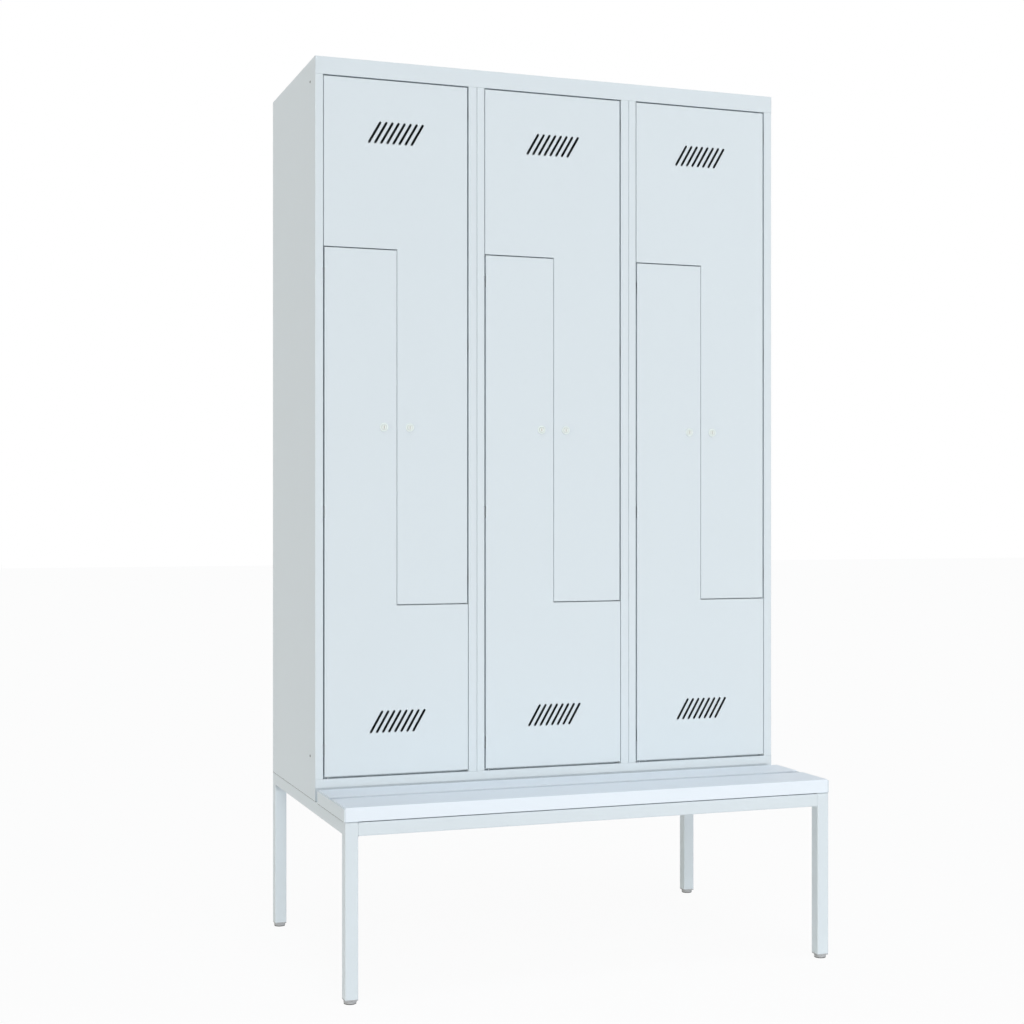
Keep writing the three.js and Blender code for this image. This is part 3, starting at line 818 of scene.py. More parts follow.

# %% [markdown]
# ## The bench
#
# Two white slats lie on the frame, closed at both ends by a thin painted bar. Their upper edges
# are rounded by 2 mm only, so the front edge stays a crisp line in the photograph. The bars and the
# body rest on a thin black strip, painted shadow that draws the fine dark line of the seams along the
# frame.

# %% Build the bench
SLAT_CORNERS = np.array([0.6, 2.0, 2.0, 0.6]) * MM
BAR_CORNER = 0.5 * MM
BAR_EDGE = 0.3 * MM
BAR_LIFT = 0.15 * MM
# The black strips in the seams are painted shadow: a dark line where the seams' shade falls.
SHADOW_TAPE_WIDTH = 12 * MM
SHADOW_TAPE_INSET = 0.03 * MM
SHADOW_TAPE_SQUEEZE = 0.5 * MM
SLATS = ("seat_slat_front", "seat_slat_rear")
OUTWARD = {"left": -1, "right": 1}


def build_slat(name):
    """One section, with softer corners above than below, carried along x."""
    low, high = low_high(name)
    profile = rounded_rectangle(low[1:], high[1:], SLAT_CORNERS)
    places = [low[0], low[0] + SUPPORT, high[0] - SUPPORT, high[0]]
    slat = solid(along("x", profile, places))
    slat.make(f"{name}_board", slat_white, CARCASS, "seat_plastic", [name])


def build_end_bar(name):
    """One section carried along x, and drawn in towards its middle at both ends."""
    low, high = low_high(name)
    low[2] += BAR_LIFT
    profile = rounded_rectangle(low[1:], high[1:], BAR_CORNER)
    centre = (low[1:] + high[1:]) / 2
    drawn_in = profile - np.sign(profile - centre) * BAR_EDGE
    first, last = along("x", drawn_in, [low[0]]), along("x", drawn_in, [high[0]])
    between = along("x", profile, [low[0] + BAR_EDGE, high[0] - BAR_EDGE])
    bar = solid(np.concatenate([first, between, last]))
    bar.make(f"{name}_bar", coat, CARCASS, STEEL, [name])


def painted_shadow_tape(start, end, front, back, low, high):
    """A flat strip of painted shadow as a four-sided profile carried back: x from start to end, z from low
    to high.
    """
    outline = [[start, low], [end, low], [end, high], [start, high]]
    return solid(along("y", outline, [front, back]))


def outer_face(node, outward):
    """The x of a node's outer face."""
    low, high = low_high(node)
    return (low if outward < 0 else high)[0]


def build_painted_shadow_tape(side, outward):
    """Black strips on the side rail as painted shadow for the seams: under the end bar, and under the
    body, where squeezed out.
    """
    bar, panel = f"seat_end_strip_{side}", f"side_panel_{side}"
    bar_low, bar_high = low_high(bar)
    panel_low, panel_high = low_high(panel)
    rail_top = low_high(f"frame_{side}_rail")[1][2]
    bar_face = outer_face(bar, outward) - outward * SHADOW_TAPE_INSET
    body_face = outer_face(panel, outward) - outward * SHADOW_TAPE_INSET
    inner = body_face - outward * SHADOW_TAPE_WIDTH
    bar_span = (bar_low[1] + SHADOW_TAPE_WIDTH, bar_high[1])
    body_span = (panel_low[1] + SHADOW_TAPE_INSET, panel_high[1])
    under_bar = painted_shadow_tape(bar_face, inner, *bar_span, rail_top, bar_low[2] + BAR_LIFT)
    under_body = painted_shadow_tape(body_face, inner, *body_span, rail_top - SHADOW_TAPE_SQUEEZE, panel_low[2])
    under_bar.join(under_body).make(f"tape_{side}", black_rubber_and_painted_shadow, CARCASS, "grey_plastic")


for slat_name in SLATS:
    build_slat(slat_name)
for side, outward in OUTWARD.items():
    build_end_bar(f"seat_end_strip_{side}")
    build_painted_shadow_tape(side, outward)
slat_low, slat_high = low_high(SLATS[0])
print("a slat is", round((slat_high[0] - slat_low[0]) / MM), "mm long")

# %% [markdown]
# ## The body's folded sheets
#
# A wall sheet is one strip of steel: a flange at the back, the flat web, the stile that shows at
# the front, a return and the stop that the doors close on. Seen in plan, that is one polyline
# carried upright. Where the top and bottom rails pass in front, stile and stop are cut away.
# The side panels have two small holes for bolting lockers together, closed by black plugs.

# %% Build the wall sheets
STOP_SETBACK = 21 * MM
STOP_WIDTH = 12 * MM
HINGE_GAP = 3.5 * MM
REAR_FLANGE = 15 * MM
RAIL_CLEARANCE = 0.3 * MM
BEND_ROOM = 3 * BEND
LINK_HOLE = 2.3 * MM
LINK_SIDES = 16
LINK_SETBACK = 52 * MM
LINK_DROP = 50 * MM
LINK_RISE = 100 * MM

body_front = low_high("side_panel_left")[0][1]
bottom_rail_top = low_high("bottom_panel")[1][2] - STOP_WIDTH
top_rail_under = low_high("top_panel")[0][2] + STOP_WIDTH


def opening_edge(bay, side):
    """Where the stile ends and the door's hinge gap begins."""
    if side == "left":
        return low_high(f"lower_door_{bay}")[0][0] - HINGE_GAP
    return low_high(f"upper_door_{bay}")[1][0] + HINGE_GAP


def between_stops(bay):
    """The x between which a sheet passes the stops of a bay's two walls."""
    left = opening_edge(bay, "left") + STOP_WIDTH + RAIL_CLEARANCE
    right = opening_edge(bay, "right") - STOP_WIDTH - RAIL_CLEARANCE
    return left, right


def link_places(low, high):
    """Depths behind the front and heights of a side panel's two link holes."""
    return [[LINK_SETBACK, high[2] - LINK_DROP], [LINK_SETBACK, low[2] + LINK_RISE]]


def build_wall(name, bay, side, outermost):
    """The bent strips at front and rear, carried upright, and the flat web between them."""
    low, high = low_high(name)
    outward = OUTWARD[side]
    outer_x = outer_face(name, outward)
    stile = abs(opening_edge(bay, side) - outer_x)
    depth = high[1] - body_front
    stop = [[stile + STOP_WIDTH, STOP_SETBACK], [stile, STOP_SETBACK]]
    front = bent([*stop, [stile, 0], [0, 0], [0, BEND_ROOM]])
    rear = bent([[0, depth - BEND_ROOM], [0, depth], [REAR_FLANGE, depth]])
    stile_low, stile_high = bottom_rail_top + RAIL_CLEARANCE, top_rail_under - RAIL_CLEARANCE

    def place(profile, heights):
        """A profile of reaches inward and depths, carried upright at this wall."""
        points = along("z", profile, heights)
        points[..., 0] = outer_x - outward * points[..., 0]
        points[..., 1] += body_front
        return points

    sheet = Surface()
    sheet.grid(place(front, [stile_low, stile_high]))
    sheet.grid(place(rear, [low[2], stile_low, stile_high, high[2]]))
    web_front = 0 if outermost else STOP_SETBACK + 2 * SHEET
    web_rear = depth - BEND_ROOM
    rim = [
        [web_front, low[2]],
        [web_rear, low[2]],
        [web_rear, stile_low],
        [web_rear, stile_high],
        [web_rear, high[2]],
        [web_front, high[2]],
        [web_front, stile_high],
        [BEND_ROOM, stile_high],
        [BEND_ROOM, stile_low],
        [web_front, stile_low],
    ]
    places = link_places(low, high) if outermost else []
    holes = [circle(place, LINK_HOLE, LINK_SIDES) for place in places]

    def web(points):
        """A depth and a height on the wall's flat web as a place in the room."""
        x = np.full(len(points), outer_x)
        return np.stack([x, body_front + points[:, 0], points[:, 1]], axis=1)

    sheet.plate(rim, holes, web)
    return sheet.thick(SHEET, (outward, 0, 0))


walls = {}
for bay in BAYS:
    first, last = bay == BAYS[0], bay == BAYS[-1]
    left_name = "side_panel_left" if first else f"partition_{bay - 1}_right_sheet"
    right_name = "side_panel_right" if last else f"partition_{bay}_left_sheet"
    walls[bay, "left"] = (left_name, build_wall(left_name, bay, "left", first))
    walls[bay, "right"] = (right_name, build_wall(right_name, bay, "right", last))
print(len(walls), "wall sheets folded")

# %% Close the link holes
PLUG_PLAY = 0.05 * MM
PLUG_HEAD = 3.2 * MM
PLUG_PROUD = 0.5 * MM
PLUG_CHAMFER = 0.3 * MM
PLUG_STEP = 0.2 * MM
PLUG_LID_SHARE = 0.3


def build_link_plugs(side, outward):
    """Black plugs in the two link holes, a thin head on a stem: r(x) turned about the x axis."""
    panel = f"side_panel_{side}"
    skin = outer_face(panel, outward)
    front, edge, deep = skin - outward * np.array([-PLUG_PROUD, -PLUG_STEP, SHEET])
    stem = LINK_HOLE - PLUG_PLAY
    lid = PLUG_LID_SHARE * stem
    head = [[lid, front], [PLUG_HEAD - PLUG_CHAMFER, front], [PLUG_HEAD, edge], [PLUG_HEAD, skin]]
    profile = [*head, [stem, skin], [stem, deep], [lid, deep]]
    plugs = Surface()
    for setback, height in link_places(*low_high(panel)):
        centre = np.array([body_front + setback, height])
        solid_turn(plugs, "x", centre, profile, steps=LINK_SIDES)
    plugs.make(f"link_plugs_{side}", black_rubber_and_painted_shadow, CARCASS, "grey_plastic")


for side, outward in OUTWARD.items():
    build_link_plugs(side, outward)
print("a link hole is", 2 * LINK_HOLE / MM, "mm wide")

# %% [markdown]
# ## Hinge brackets
#
# No hinge shows outside. Each door turns on a rod near its edge, and the rod is held by three
# small brackets: an arm from the stop, with a barrel round the rod. The arm reaches in through a
# notch in the door's flange, so the door can open past a right angle.

# %% Add brackets to the walls
BARREL_RADIUS = 3.5 * MM
BARREL_SIDES = 24
ROD_BORE = 2.3 * MM
BRACKET_HEIGHT = 26 * MM
BRACKET_THICKNESS = 3 * MM
BRACKET_SHARES = np.array([0.05, 0.5, 0.95])
EDGE_SHARE = 0.3
CORNER_SHARE = 1.2


def plain_block(low, high, radius):
    """A block with every edge slightly rounded: rings drawn in towards both ends."""
    low, high = np.asarray(low, float), np.asarray(high, float)
    between = EDGE_SHARE * radius
    insets = np.array([radius, between, 0, 0, between, radius])
    rises = np.array([0, between, radius])
    heights = np.concatenate([low[2] + rises, high[2] - rises[::-1]])
    corner = CORNER_SHARE * radius
    rings = [rounded_rectangle(low[:2] + n, high[:2] - n, corner - n, 2) for n in insets]
    far = np.broadcast_to(heights[:, None, None], (len(rings), len(rings[0]), 1))
    return solid(np.concatenate([np.stack(rings), far], axis=-1))


def bracket(centre, middle):
    """A short tube round the rod, a rectangle turned about it, and the arm from it to the stop."""
    low, high = middle - BRACKET_HEIGHT / 2, middle + BRACKET_HEIGHT / 2
    ring = [[ROD_BORE, low], [BARREL_RADIUS, low], [BARREL_RADIUS, high], [ROD_BORE, high]]
    rings = turned("z", centre, ring, BARREL_SIDES)
    half = BRACKET_THICKNESS / 2
    start = centre[1] + (ROD_BORE + BARREL_RADIUS) / 2
    arm_low = [centre[0] - half, start, low]
    arm_high = [centre[0] + half, body_front + STOP_SETBACK, high]
    tube_round_rod = Surface().grid(rings, around=True, closed=True)
    return tube_round_rod.join(plain_block(arm_low, arm_high, EDGE))


def bracket_heights(level, bay):
    """Where a door's brackets are: shares of its height, counted from the foot of the upper door
    and from the top of the lower one, which is the same door turned round."""
    low, high = low_high(f"{level}_door_{bay}")
    shares = BRACKET_SHARES if level == "upper" else 1 - BRACKET_SHARES
    return low[2] + shares * (high[2] - low[2])


for bay in BAYS:
    for side, level in (("left", "lower"), ("right", "upper")):
        wall_name, folded = walls[bay, side]
        hinge_axis = middle_of(f"{level}_hinge_rod_{bay}", 0, 1)
        for height in bracket_heights(level, bay):
            folded.join(bracket(hinge_axis, height))
        folded.make(f"{wall_name}_folded", coat, CARCASS, STEEL, [wall_name])
print(len(walls) * len(BRACKET_SHARES), "brackets")

# %% [markdown]
# ## Top, bottom and back
#
# The top and bottom sheets fold the same way, seen from the side: the flat sheet, the rail that
# shows at the front, a return and the stops, which are there only between the walls.

# %% Build top and bottom
def build_end_sheet(name, inward):
    """A folded profile carried along x. `keep` drops the stops where a wall's own stop stands, and
    the rear flange at both ends."""
    low, high = low_high(name)
    outer_z = low[2] if inward > 0 else high[2]
    rail = high[2] - low[2] - STOP_WIDTH
    depth = high[1] - low[1]
    stops = [between_stops(bay) for bay in BAYS]
    flange = [low[0] + REAR_FLANGE, high[0] - REAR_FLANGE]
    places = np.unique(np.round([low[0], high[0], *np.ravel(stops), *flange], 6))
    middles = (places[:-1] + places[1:]) / 2

    profile = bent([
        [STOP_SETBACK, rail + STOP_WIDTH],
        [STOP_SETBACK, rail],
        [0, rail],
        [0, 0],
        [depth, 0],
        [depth, REAR_FLANGE],
    ])
    points = along("x", profile, places)
    points[..., 2] = outer_z + inward * points[..., 2]
    points[..., 1] += body_front
    in_stop = np.zeros(len(middles), bool)
    for start, end in stops:
        in_stop |= (middles > start) & (middles < end)
    in_flange = (middles > flange[0]) & (middles < flange[1])
    ends = (profile[:-1] + profile[1:]) / 2
    is_stop = ends[:, 1] > rail + SUPPORT
    is_flange = (ends[:, 0] > depth - BEND) & (ends[:, 1] > BEND)
    keep = np.ones((len(middles), len(ends)), bool)
    keep &= in_stop[:, None] | ~is_stop[None]
    keep &= in_flange[:, None] | ~is_flange[None]
    sheet = Surface().grid(points, keep=keep)
    sheet.thick(SHEET, (0, 0, -inward)).make(f"{name}_folded", coat, CARCASS, STEEL, [name])


build_end_sheet("top_panel", -1)
build_end_sheet("bottom_panel", 1)

back_low, back_high = low_high("back_panel")
(left, foot), (right, top) = back_low[[0, 2]], back_high[[0, 2]]
back_outline = [[left, foot], [right, foot], [right, top], [left, top]]
back = Surface().plate(back_outline, [], facing_front(back_high[1]))
back.thick(SHEET, (0, 1, 0)).make("back_panel_sheet", coat, CARCASS, STEEL, ["back_panel"])
print("the back is", round((right - left) / MM), "mm wide and", round((top - foot) / MM), "mm high")

# %% [markdown]
# ## The Z-shaped divider
#
# Inside, a shelf on the left, an upright web and a shelf on the right part a bay into two L-shaped
# lockers. A flat post with the same Z shape runs along the front, and both doors close on it.

# %% Build the dividers
HALF_POST = 16 * MM
SHELF_FLANGE = 12 * MM


def build_divider(bay):
    """The post's Z-shaped plate, the upright web behind it and a bent shelf to either side."""
    name = f"z_divider_{bay}"
    low, high = low_high(name)
    front, rear = low[1], high[1]
    middle = (low_high(f"upper_door_{bay}")[0][0] + low_high(f"lower_door_{bay}")[1][0]) / 2
    up, down = high[2] - HALF_POST, low[2] + HALF_POST
    stop_left, stop_right = between_stops(bay)
    outline = [
        [stop_left, up + HALF_POST],
        [middle + HALF_POST, up + HALF_POST],
        [middle + HALF_POST, down + HALF_POST],
        [stop_right, down + HALF_POST],
        [stop_right, down - HALF_POST],
        [middle - HALF_POST, down - HALF_POST],
        [middle - HALF_POST, up - HALF_POST],
        [stop_left, up - HALF_POST],
    ]
    post = Surface().plate(outline, [], facing_front(front))
    divider = post.thick(SHEET, (0, -1, 0))
    half = SHEET / 2
    start, web_x = front + SHEET, middle + half
    web = Surface().grid(along("z", [[web_x, start], [web_x, rear]], [down, up]))
    divider.join(web.thick(SHEET, (1, 0, 0)))
    for level, end, side in ((up, low[0], -1), (down, high[0], 1)):
        top_face = level + half
        fold = [[middle - side * half, top_face], [end, top_face], [end, level - SHELF_FLANGE]]
        shelf = Surface().grid(along("y", bent(fold[::side]), [start, rear]))
        divider.join(shelf.thick(SHEET, (0, 0, 1)))
    return divider.make(f"{name}_folded", coat, CARCASS, STEEL, [name])


for bay in BAYS:
    made = build_divider(bay)
print("a divider has", len(made.data.polygons), "faces")

# %% [markdown]
# ## Coat rails and hinge rods
#
# A coat rail is a zinc-plated tube with a pressed flange at each end, held by two screws. It is
# one profile turned round the rail's axis.

# %% Build rails and rods
RAIL_RADIUS = 8 * MM
RAIL_BORE = 6.5 * MM
RAIL_EDGE = 0.8 * MM
RAIL_SIDES = 40
FLANGE_THICKNESS = 2.5 * MM
SCREW_PITCH_RADIUS = 11.5 * MM
SCREW_RADII = np.array([0.6, 1.5, 2.4, 2.4]) * MM
SCREW_RISES = np.array([1.1, 1.1, 0.3, -0.3]) * MM
SCREW_SIDES = 16
ROD_RADIUS = 2.0 * MM
ROD_EDGE = 0.5 * MM
ROD_SIDES = 20
ZINC_SLOT = "zinc_plated_steel"


def build_coat_rail(level, bay):
    """Tube and flanges as one profile r(x) turned about the rail's axis, and four screw heads."""
    name = f"{level}_coat_rail_{bay}"
    low, high = low_high(name)
    centre = middle_of(name, 1, 2)
    flange = (high[2] - low[2]) / 2
    left, right = low[0], high[0]
    steps = [
        [RAIL_BORE, left],
        [flange, left],
        [flange, left + FLANGE_THICKNESS],
        [RAIL_RADIUS, left + FLANGE_THICKNESS],
        [RAIL_RADIUS, right - FLANGE_THICKNESS],
        [flange, right - FLANGE_THICKNESS],
        [flange, right],
        [RAIL_BORE, right],
    ]
    rings = turned("x", centre, softened(steps, RAIL_EDGE), RAIL_SIDES)
    rail = Surface().grid(rings, around=True, closed=True)
    for end, side in ((left + FLANGE_THICKNESS, 1), (right - FLANGE_THICKNESS, -1)):
        head = np.stack([SCREW_RADII, end + side * SCREW_RISES], axis=1)
        for turn in (-1, 1):
            place = centre + [turn * SCREW_PITCH_RADIUS, 0]
            solid_turn(rail, "x", place, head, steps=SCREW_SIDES)
    rail.make(f"{name}_tube", zinc, CARCASS, ZINC_SLOT, [name])


def build_rod(level, bay):
    """A plain pin with soft ends, r(z) turned about its upright axis."""
    name = f"{level}_hinge_rod_{bay}"
    low, high = low_high(name)
    foot, top = low[2], high[2]
    profile = [[ROD_EDGE, foot], [ROD_RADIUS, foot], [ROD_RADIUS, top], [ROD_EDGE, top]]
    soft = softened(profile, ROD_EDGE)
    rod = solid_turn(Surface(), "z", middle_of(name, 0, 1), soft, steps=ROD_SIDES)
    rod.make(f"{name}_pin", zinc, CARCASS, ZINC_SLOT, [name])


for level, bay in LOCKERS:
    build_coat_rail(level, bay)
    build_rod(level, bay)
print("rods of", 2 * ROD_RADIUS / MM, "mm in bores of", 2 * ROD_BORE / MM, "mm")

# %% [markdown]
# ## The doors
#
# A door is a pan: a flat L-shaped skin, folded back all round, with a lip turned in. The fold is
# one profile of insets and depths, carried round the L. At each station of the path the profile
# is drawn in along a mitre direction, so at an outline corner an inset n moves the point by n in
# both directions: P(i, j) = corner_i + n_j mitre_i, at the depth y_j.
#
# The lower door is the upper one turned half round about the middle of the bay's opening.

# %% Fold a door's edge
DOOR_DEPTH = 18 * MM
DOOR_LIP = 8 * MM
FRONT_ROOM = 4 * BEND
NOTCH_DEPTH = 2 * MM

lip_to_front = [[DOOR_LIP, DOOR_DEPTH], [0, DOOR_DEPTH], [0, 0], [FRONT_ROOM, 0]]
door_fold = bent(lip_to_front, BEND, 0.0)
notch_row = int(np.searchsorted(-door_fold[:, 1], -NOTCH_DEPTH))
door_fold = np.insert(door_fold, notch_row, [[0, NOTCH_DEPTH]], axis=0)
print("the fold has", len(door_fold), "points, and notches end at row", notch_row)

# %% Place a door
MIDDLE_GAP = 1 * MM
STEP_GAP = 2.5 * MM


def bay_centre(bay):
    """The middle of a bay's opening, about which the two doors are the same door turned round."""
    upper_low, upper_high = low_high(f"upper_door_{bay}")
    lower_low, lower_high = low_high(f"lower_door_{bay}")
    return np.array([(upper_low[0] + lower_high[0]) / 2, (upper_high[2] + lower_low[2]) / 2])


def door_place(level, bay):
    """Turns a door's own two coordinates and a depth behind the front into a place in the room:
    (x, z) = centre + side (u, v), with side 1 for the upper door and -1 for the lower one."""
    centre = bay_centre(bay)
    side = 1 if level == "upper" else -1

    def place(flat, depth):
        """The door's own points, at these depths, in the room."""
        depths = np.broadcast_to(body_front + np.asarray(depth), flat.shape[:-1])
        x, z = centre[0] + side * flat[..., 0], centre[1] + side * flat[..., 1]
        return np.stack([x, depths, z], axis=-1)

    return place


def door_sizes(bay):
    """The edges of the L in the door's own coordinates: four outer edges, step and column."""
    centre = bay_centre(bay)
    low, high = low_high(f"upper_door_{bay}")
    lower_top = low_high(f"lower_door_{bay}")[1][2]
    return {
        "latch": low[0] - centre[0],
        "hinge": high[0] - centre[0],
        "top": high[2] - centre[1],
        "foot": low[2] - centre[1],
        "step": lower_top + STEP_GAP - centre[1],
        "column": MIDDLE_GAP / 2,
    }


own_sizes = door_sizes(BAYS[0])
print("a door's own edges in mm:", {edge: round(size / MM, 1) for edge, size in own_sizes.items()})

# %% Build the door pans
NOTCH_ROOM = 1.5 * MM
VENT_COUNT = 8
VENT_PITCH = 15 * MM
VENT_LENGTH = 60 * MM
VENT_WIDTH = 6 * MM
VENT_SLANT = math.radians(30)
VENT_DROP = 124.5 * MM
VENT_SHIFT = 1.2 * MM
LOCK_OFFSET = 32 * MM
LOCK_HOLE = 8.8 * MM


def door_holes(latch, hinge, top):
    """Eight slanted slots in a row, and the lock's round hole."""
    middle = (latch + hinge) / 2 - VENT_SHIFT
    vent_x = middle + (np.arange(VENT_COUNT) - (VENT_COUNT - 1) / 2) * VENT_PITCH
    height = top - VENT_DROP
    holes = [capsule([x, height], VENT_LENGTH, VENT_WIDTH, VENT_SLANT) for x in vent_x]
    return [*holes, circle([LOCK_OFFSET, 0], LOCK_HOLE)]


def build_door(level, bay):
    """The fold carried round the L, without the faces where a bracket's arm reaches in, and the
    front plate inside it."""
    latch, hinge, top, foot, step, column = door_sizes(bay).values()
    middles = foot + BRACKET_SHARES * (top - foot)
    notch_half = BRACKET_HEIGHT / 2 + NOTCH_ROOM
    notches = (middles[:, None] + np.array([-notch_half, notch_half])).ravel()
    corners = [[latch, top], [latch, step], [column, step], [column, foot], [hinge, foot]]
    mitres = [[1, -1], [1, 1], [1, 1], [1, 1], [-1, 1]]
    path = np.array(corners + [[hinge, height] for height in notches] + [[hinge, top]])
    mitre = np.array(mitres + [[-1, 0]] * len(notches) + [[-1, -1]], float)

    flat = path[None] + door_fold[:, :1, None] * mitre[None]
    keep = np.ones((len(door_fold) - 1, len(path)), bool)
    first_notch = len(corners)
    keep[:notch_row, first_notch:first_notch + len(notches):2] = False
    place = door_place(level, bay)
    pan = Surface().grid(place(flat, door_fold[:, 1:]), keep=keep, around=True)
    pan.plate(flat[-1], door_holes(latch, hinge, top), lambda points: place(points, 0.0))
    node = f"{level}_door_{bay}"
    return pan.thick(SHEET, (0, -1, 0)).make(f"{node}_pan", coat, node, STEEL, [node])


for level, bay in LOCKERS:
    made = build_door(level, bay)
print("a door has", len(made.data.polygons), "faces")

# %% [markdown]
# ## The locks
#
# A cam lock sits in each door: a round nickel head with a chamfer, a turning plug with a keyhole,
# a threaded barrel with a nut behind the skin, and a cam that reaches behind the post.

# %% Draw the lock barrels
HEAD_RADIUS = 10.5 * MM
HEAD_CHAMFER = 1.1 * MM
HEAD_EDGE = 0.35 * MM
MOUTH_CHAMFER = 0.9 * MM
PLUG_BORE = 6.3 * MM
BARREL = 8.5 * MM
BARREL_CUT = 0.4 * MM
BARREL_PITCH = 1.0 * MM
LOCK_SIDES = 40
LOCK_PLAY = 0.3 * MM
NUT_RADIUS = 12.5 * MM
NUT_THICKNESS = 4 * MM
NUT_CHAMFER = 0.6 * MM
HEXAGON_SIDES = 48


def build_barrel(level, bay):
    """Head, thread and bore as one profile r(y) turned about the lock's axis, and a nut whose
    radius follows a hexagon."""
    name = f"{level}_lock_barrel_{bay}"
    low, high = low_high(name)
    centre = middle_of(name, 0, 2)
    skin, face = body_front - LOCK_PLAY, low[1]
    head = softened([
        [PLUG_BORE, skin],
        [PLUG_BORE, face + MOUTH_CHAMFER],
        [PLUG_BORE + MOUTH_CHAMFER, face],
        [HEAD_RADIUS - HEAD_CHAMFER, face],
        [HEAD_RADIUS, face + HEAD_CHAMFER],
        [HEAD_RADIUS, skin],
    ], HEAD_EDGE)
    nut = body_front + SHEET + LOCK_PLAY
    nut_back = nut + NUT_THICKNESS
    root = BARREL - BARREL_CUT
    thread = []
    for crest in np.arange(int((high[1] - nut_back) / BARREL_PITCH)) * BARREL_PITCH + nut_back:
        thread += [[BARREL, crest], [root, crest + BARREL_PITCH / 2]]
    bore = [[root, high[1]], [PLUG_BORE, high[1]], [PLUG_BORE, skin]]
    profile = np.concatenate([head, [[BARREL, skin]], thread, bore])
    barrel = Surface().grid(turned("y", centre, profile, LOCK_SIDES), around=True)
    flat_radius = NUT_RADIUS - NUT_CHAMFER
    nut_front = [[BARREL, nut], [flat_radius, nut], [NUT_RADIUS, nut + NUT_CHAMFER]]
    nut_rear = [[NUT_RADIUS, nut_back - NUT_CHAMFER], [flat_radius, nut_back], [BARREL, nut_back]]
    flats = turned("y", centre, [*nut_front, *nut_rear], HEXAGON_SIDES, hexagon)
    barrel.join(Surface().grid(flats, around=True, closed=True))
    return barrel.make(f"{name}_turned", nickel, f"{level}_door_{bay}", "nickel", [name])


print("the barrel's thread has a pitch of", BARREL_PITCH / MM, "mm")

# %% Build the locks
PLUG_RADIUS = 6.0 * MM
LOCK_EDGE = 0.3 * MM
KEYHOLE = np.array([1.6, 7.5]) * MM
KEY_DEPTH = 5 * MM
WAFER_DEPTH = 0.6 * MM
WAFER_GRIP = 0.05 * MM
CAM_WIDTH = 12 * MM
CAM_THICKNESS = 2 * MM
CAM_GAP = 2.5 * MM
CAM_SCREW = 4.5 * MM
CAM_SCREW_CHAMFER = 0.6 * MM
CAM_SCREW_LID = 0.8 * MM

cam_front = body_front + STOP_SETBACK + SHEET + CAM_GAP
cam_back = cam_front + CAM_THICKNESS


def keyhole(centre, grip=0.0):
    """The keyhole's outline, or the larger one of the wafers that grip in it."""
    half = KEYHOLE / 2 + grip
    return rounded_rectangle(centre - half, centre + half, LOCK_EDGE, 2)


def draw_plug(centre, face):
    """A cylinder r(y) turned about the lock's axis, with a pocket of the keyhole's outline."""
    key = keyhole(centre)
    rim = PLUG_RADIUS - LOCK_EDGE
    plug = Surface().plate(circle(centre, rim), [key], facing_front(face))
    rings = [[rim, face], [PLUG_RADIUS, face + LOCK_EDGE], [PLUG_RADIUS, cam_front]]
    plug.grid(turned("y", centre, rings), around=True)
    plug.lid(turned("y", centre, rings[-1:])[0])
    pocket = along("y", key, [face, face + KEY_DEPTH])
    return plug.grid(pocket, around=True).lid(pocket[-1])


def draw_cam(centre, tip, screw_back):
    """A flat bar with round ends and chamfered faces, hanging from the axis, and its screw."""
    length = centre[1] - tip + CAM_WIDTH / 2
    middle = centre - [0, (length - CAM_WIDTH) / 2]
    insets = (LOCK_EDGE, 0, 0, LOCK_EDGE)
    depths = (cam_front, cam_front + LOCK_EDGE, cam_back - LOCK_EDGE, cam_back)
    loops = []
    for inset, depth in zip(insets, depths):
        outline = capsule(middle, length - 2 * inset, CAM_WIDTH - 2 * inset)
        loops.append(facing_front(depth)(outline))
    side_end = screw_back - CAM_SCREW_CHAMFER
    side_of_screw = [[CAM_SCREW, cam_back], [CAM_SCREW, side_end]]
    back_of_screw = [[CAM_SCREW - CAM_SCREW_CHAMFER, screw_back], [CAM_SCREW_LID, screw_back]]
    screw = [[CAM_SCREW_LID, cam_back], *side_of_screw, *back_of_screw]
    bar = solid(np.stack(loops))
    return solid_turn(bar, "y", centre, screw, steps=HEXAGON_SIDES, ripple=hexagon)


def build_plug(level, bay):
    """The wafers as one brass block a little behind the face, its darkness painted shade for the keyway,
    and plug and cam as one.
    """
    name = f"{level}_lock_plug_{bay}"
    low, high = low_high(name)
    centre, face = middle_of(f"{level}_lock_barrel_{bay}", 0, 2), low[1]
    wafer_depths = [face + WAFER_DEPTH, face + KEY_DEPTH]
    wafers = solid(along("y", keyhole(centre, WAFER_GRIP), wafer_depths))
    wafers.make(f"{name}_wafers", brass_painted_shade, name, "nickel")
    plug = draw_plug(centre, face).join(draw_cam(centre, low[2], high[1]))
    return plug.make(f"{name}_cam", nickel, name, "nickel", [name])


for level, bay in LOCKERS:
    barrel, plug = build_barrel(level, bay), build_plug(level, bay)
print("a barrel has", len(barrel.data.polygons), "faces, a plug with its cam", len(plug.data.polygons))

# %% [markdown]
# ## The room
#
# A catalogue picture: white all round, soft light, no hard shadow. The doors are lit by lamps so
# far away that they light every door alike, as a sun lamp does: one in front and a warmer one for
# the side panel, both low, and one above for the bench. A strip box stands on the studio floor.
# Its light comes from below, so it reaches the legs under the bench, but not the door stops
# behind the gaps that the camera looks into.
#
# The lamps are left out of reflections, because the photograph shows no glare on the locks. The
# floor and the world show plain white to the camera and in reflections, and the floor still
# takes the locker's soft shadow.

# %% Whiten the sky
WORLD_LIGHT = 0.33


def seen_directly(graph):
    """One where the camera, a reflection or a see-through ray looks, and nothing else."""
    rays = graph.node("ShaderNodeLightPath")
    both = rays.out("Is Camera Ray") + rays.out("Is Glossy Ray") + rays.out("Is Transmission Ray")
    return graph.node("ShaderNodeMath", {"operation": "MINIMUM"}, {0: both, 1: 1.0}).out("Value")


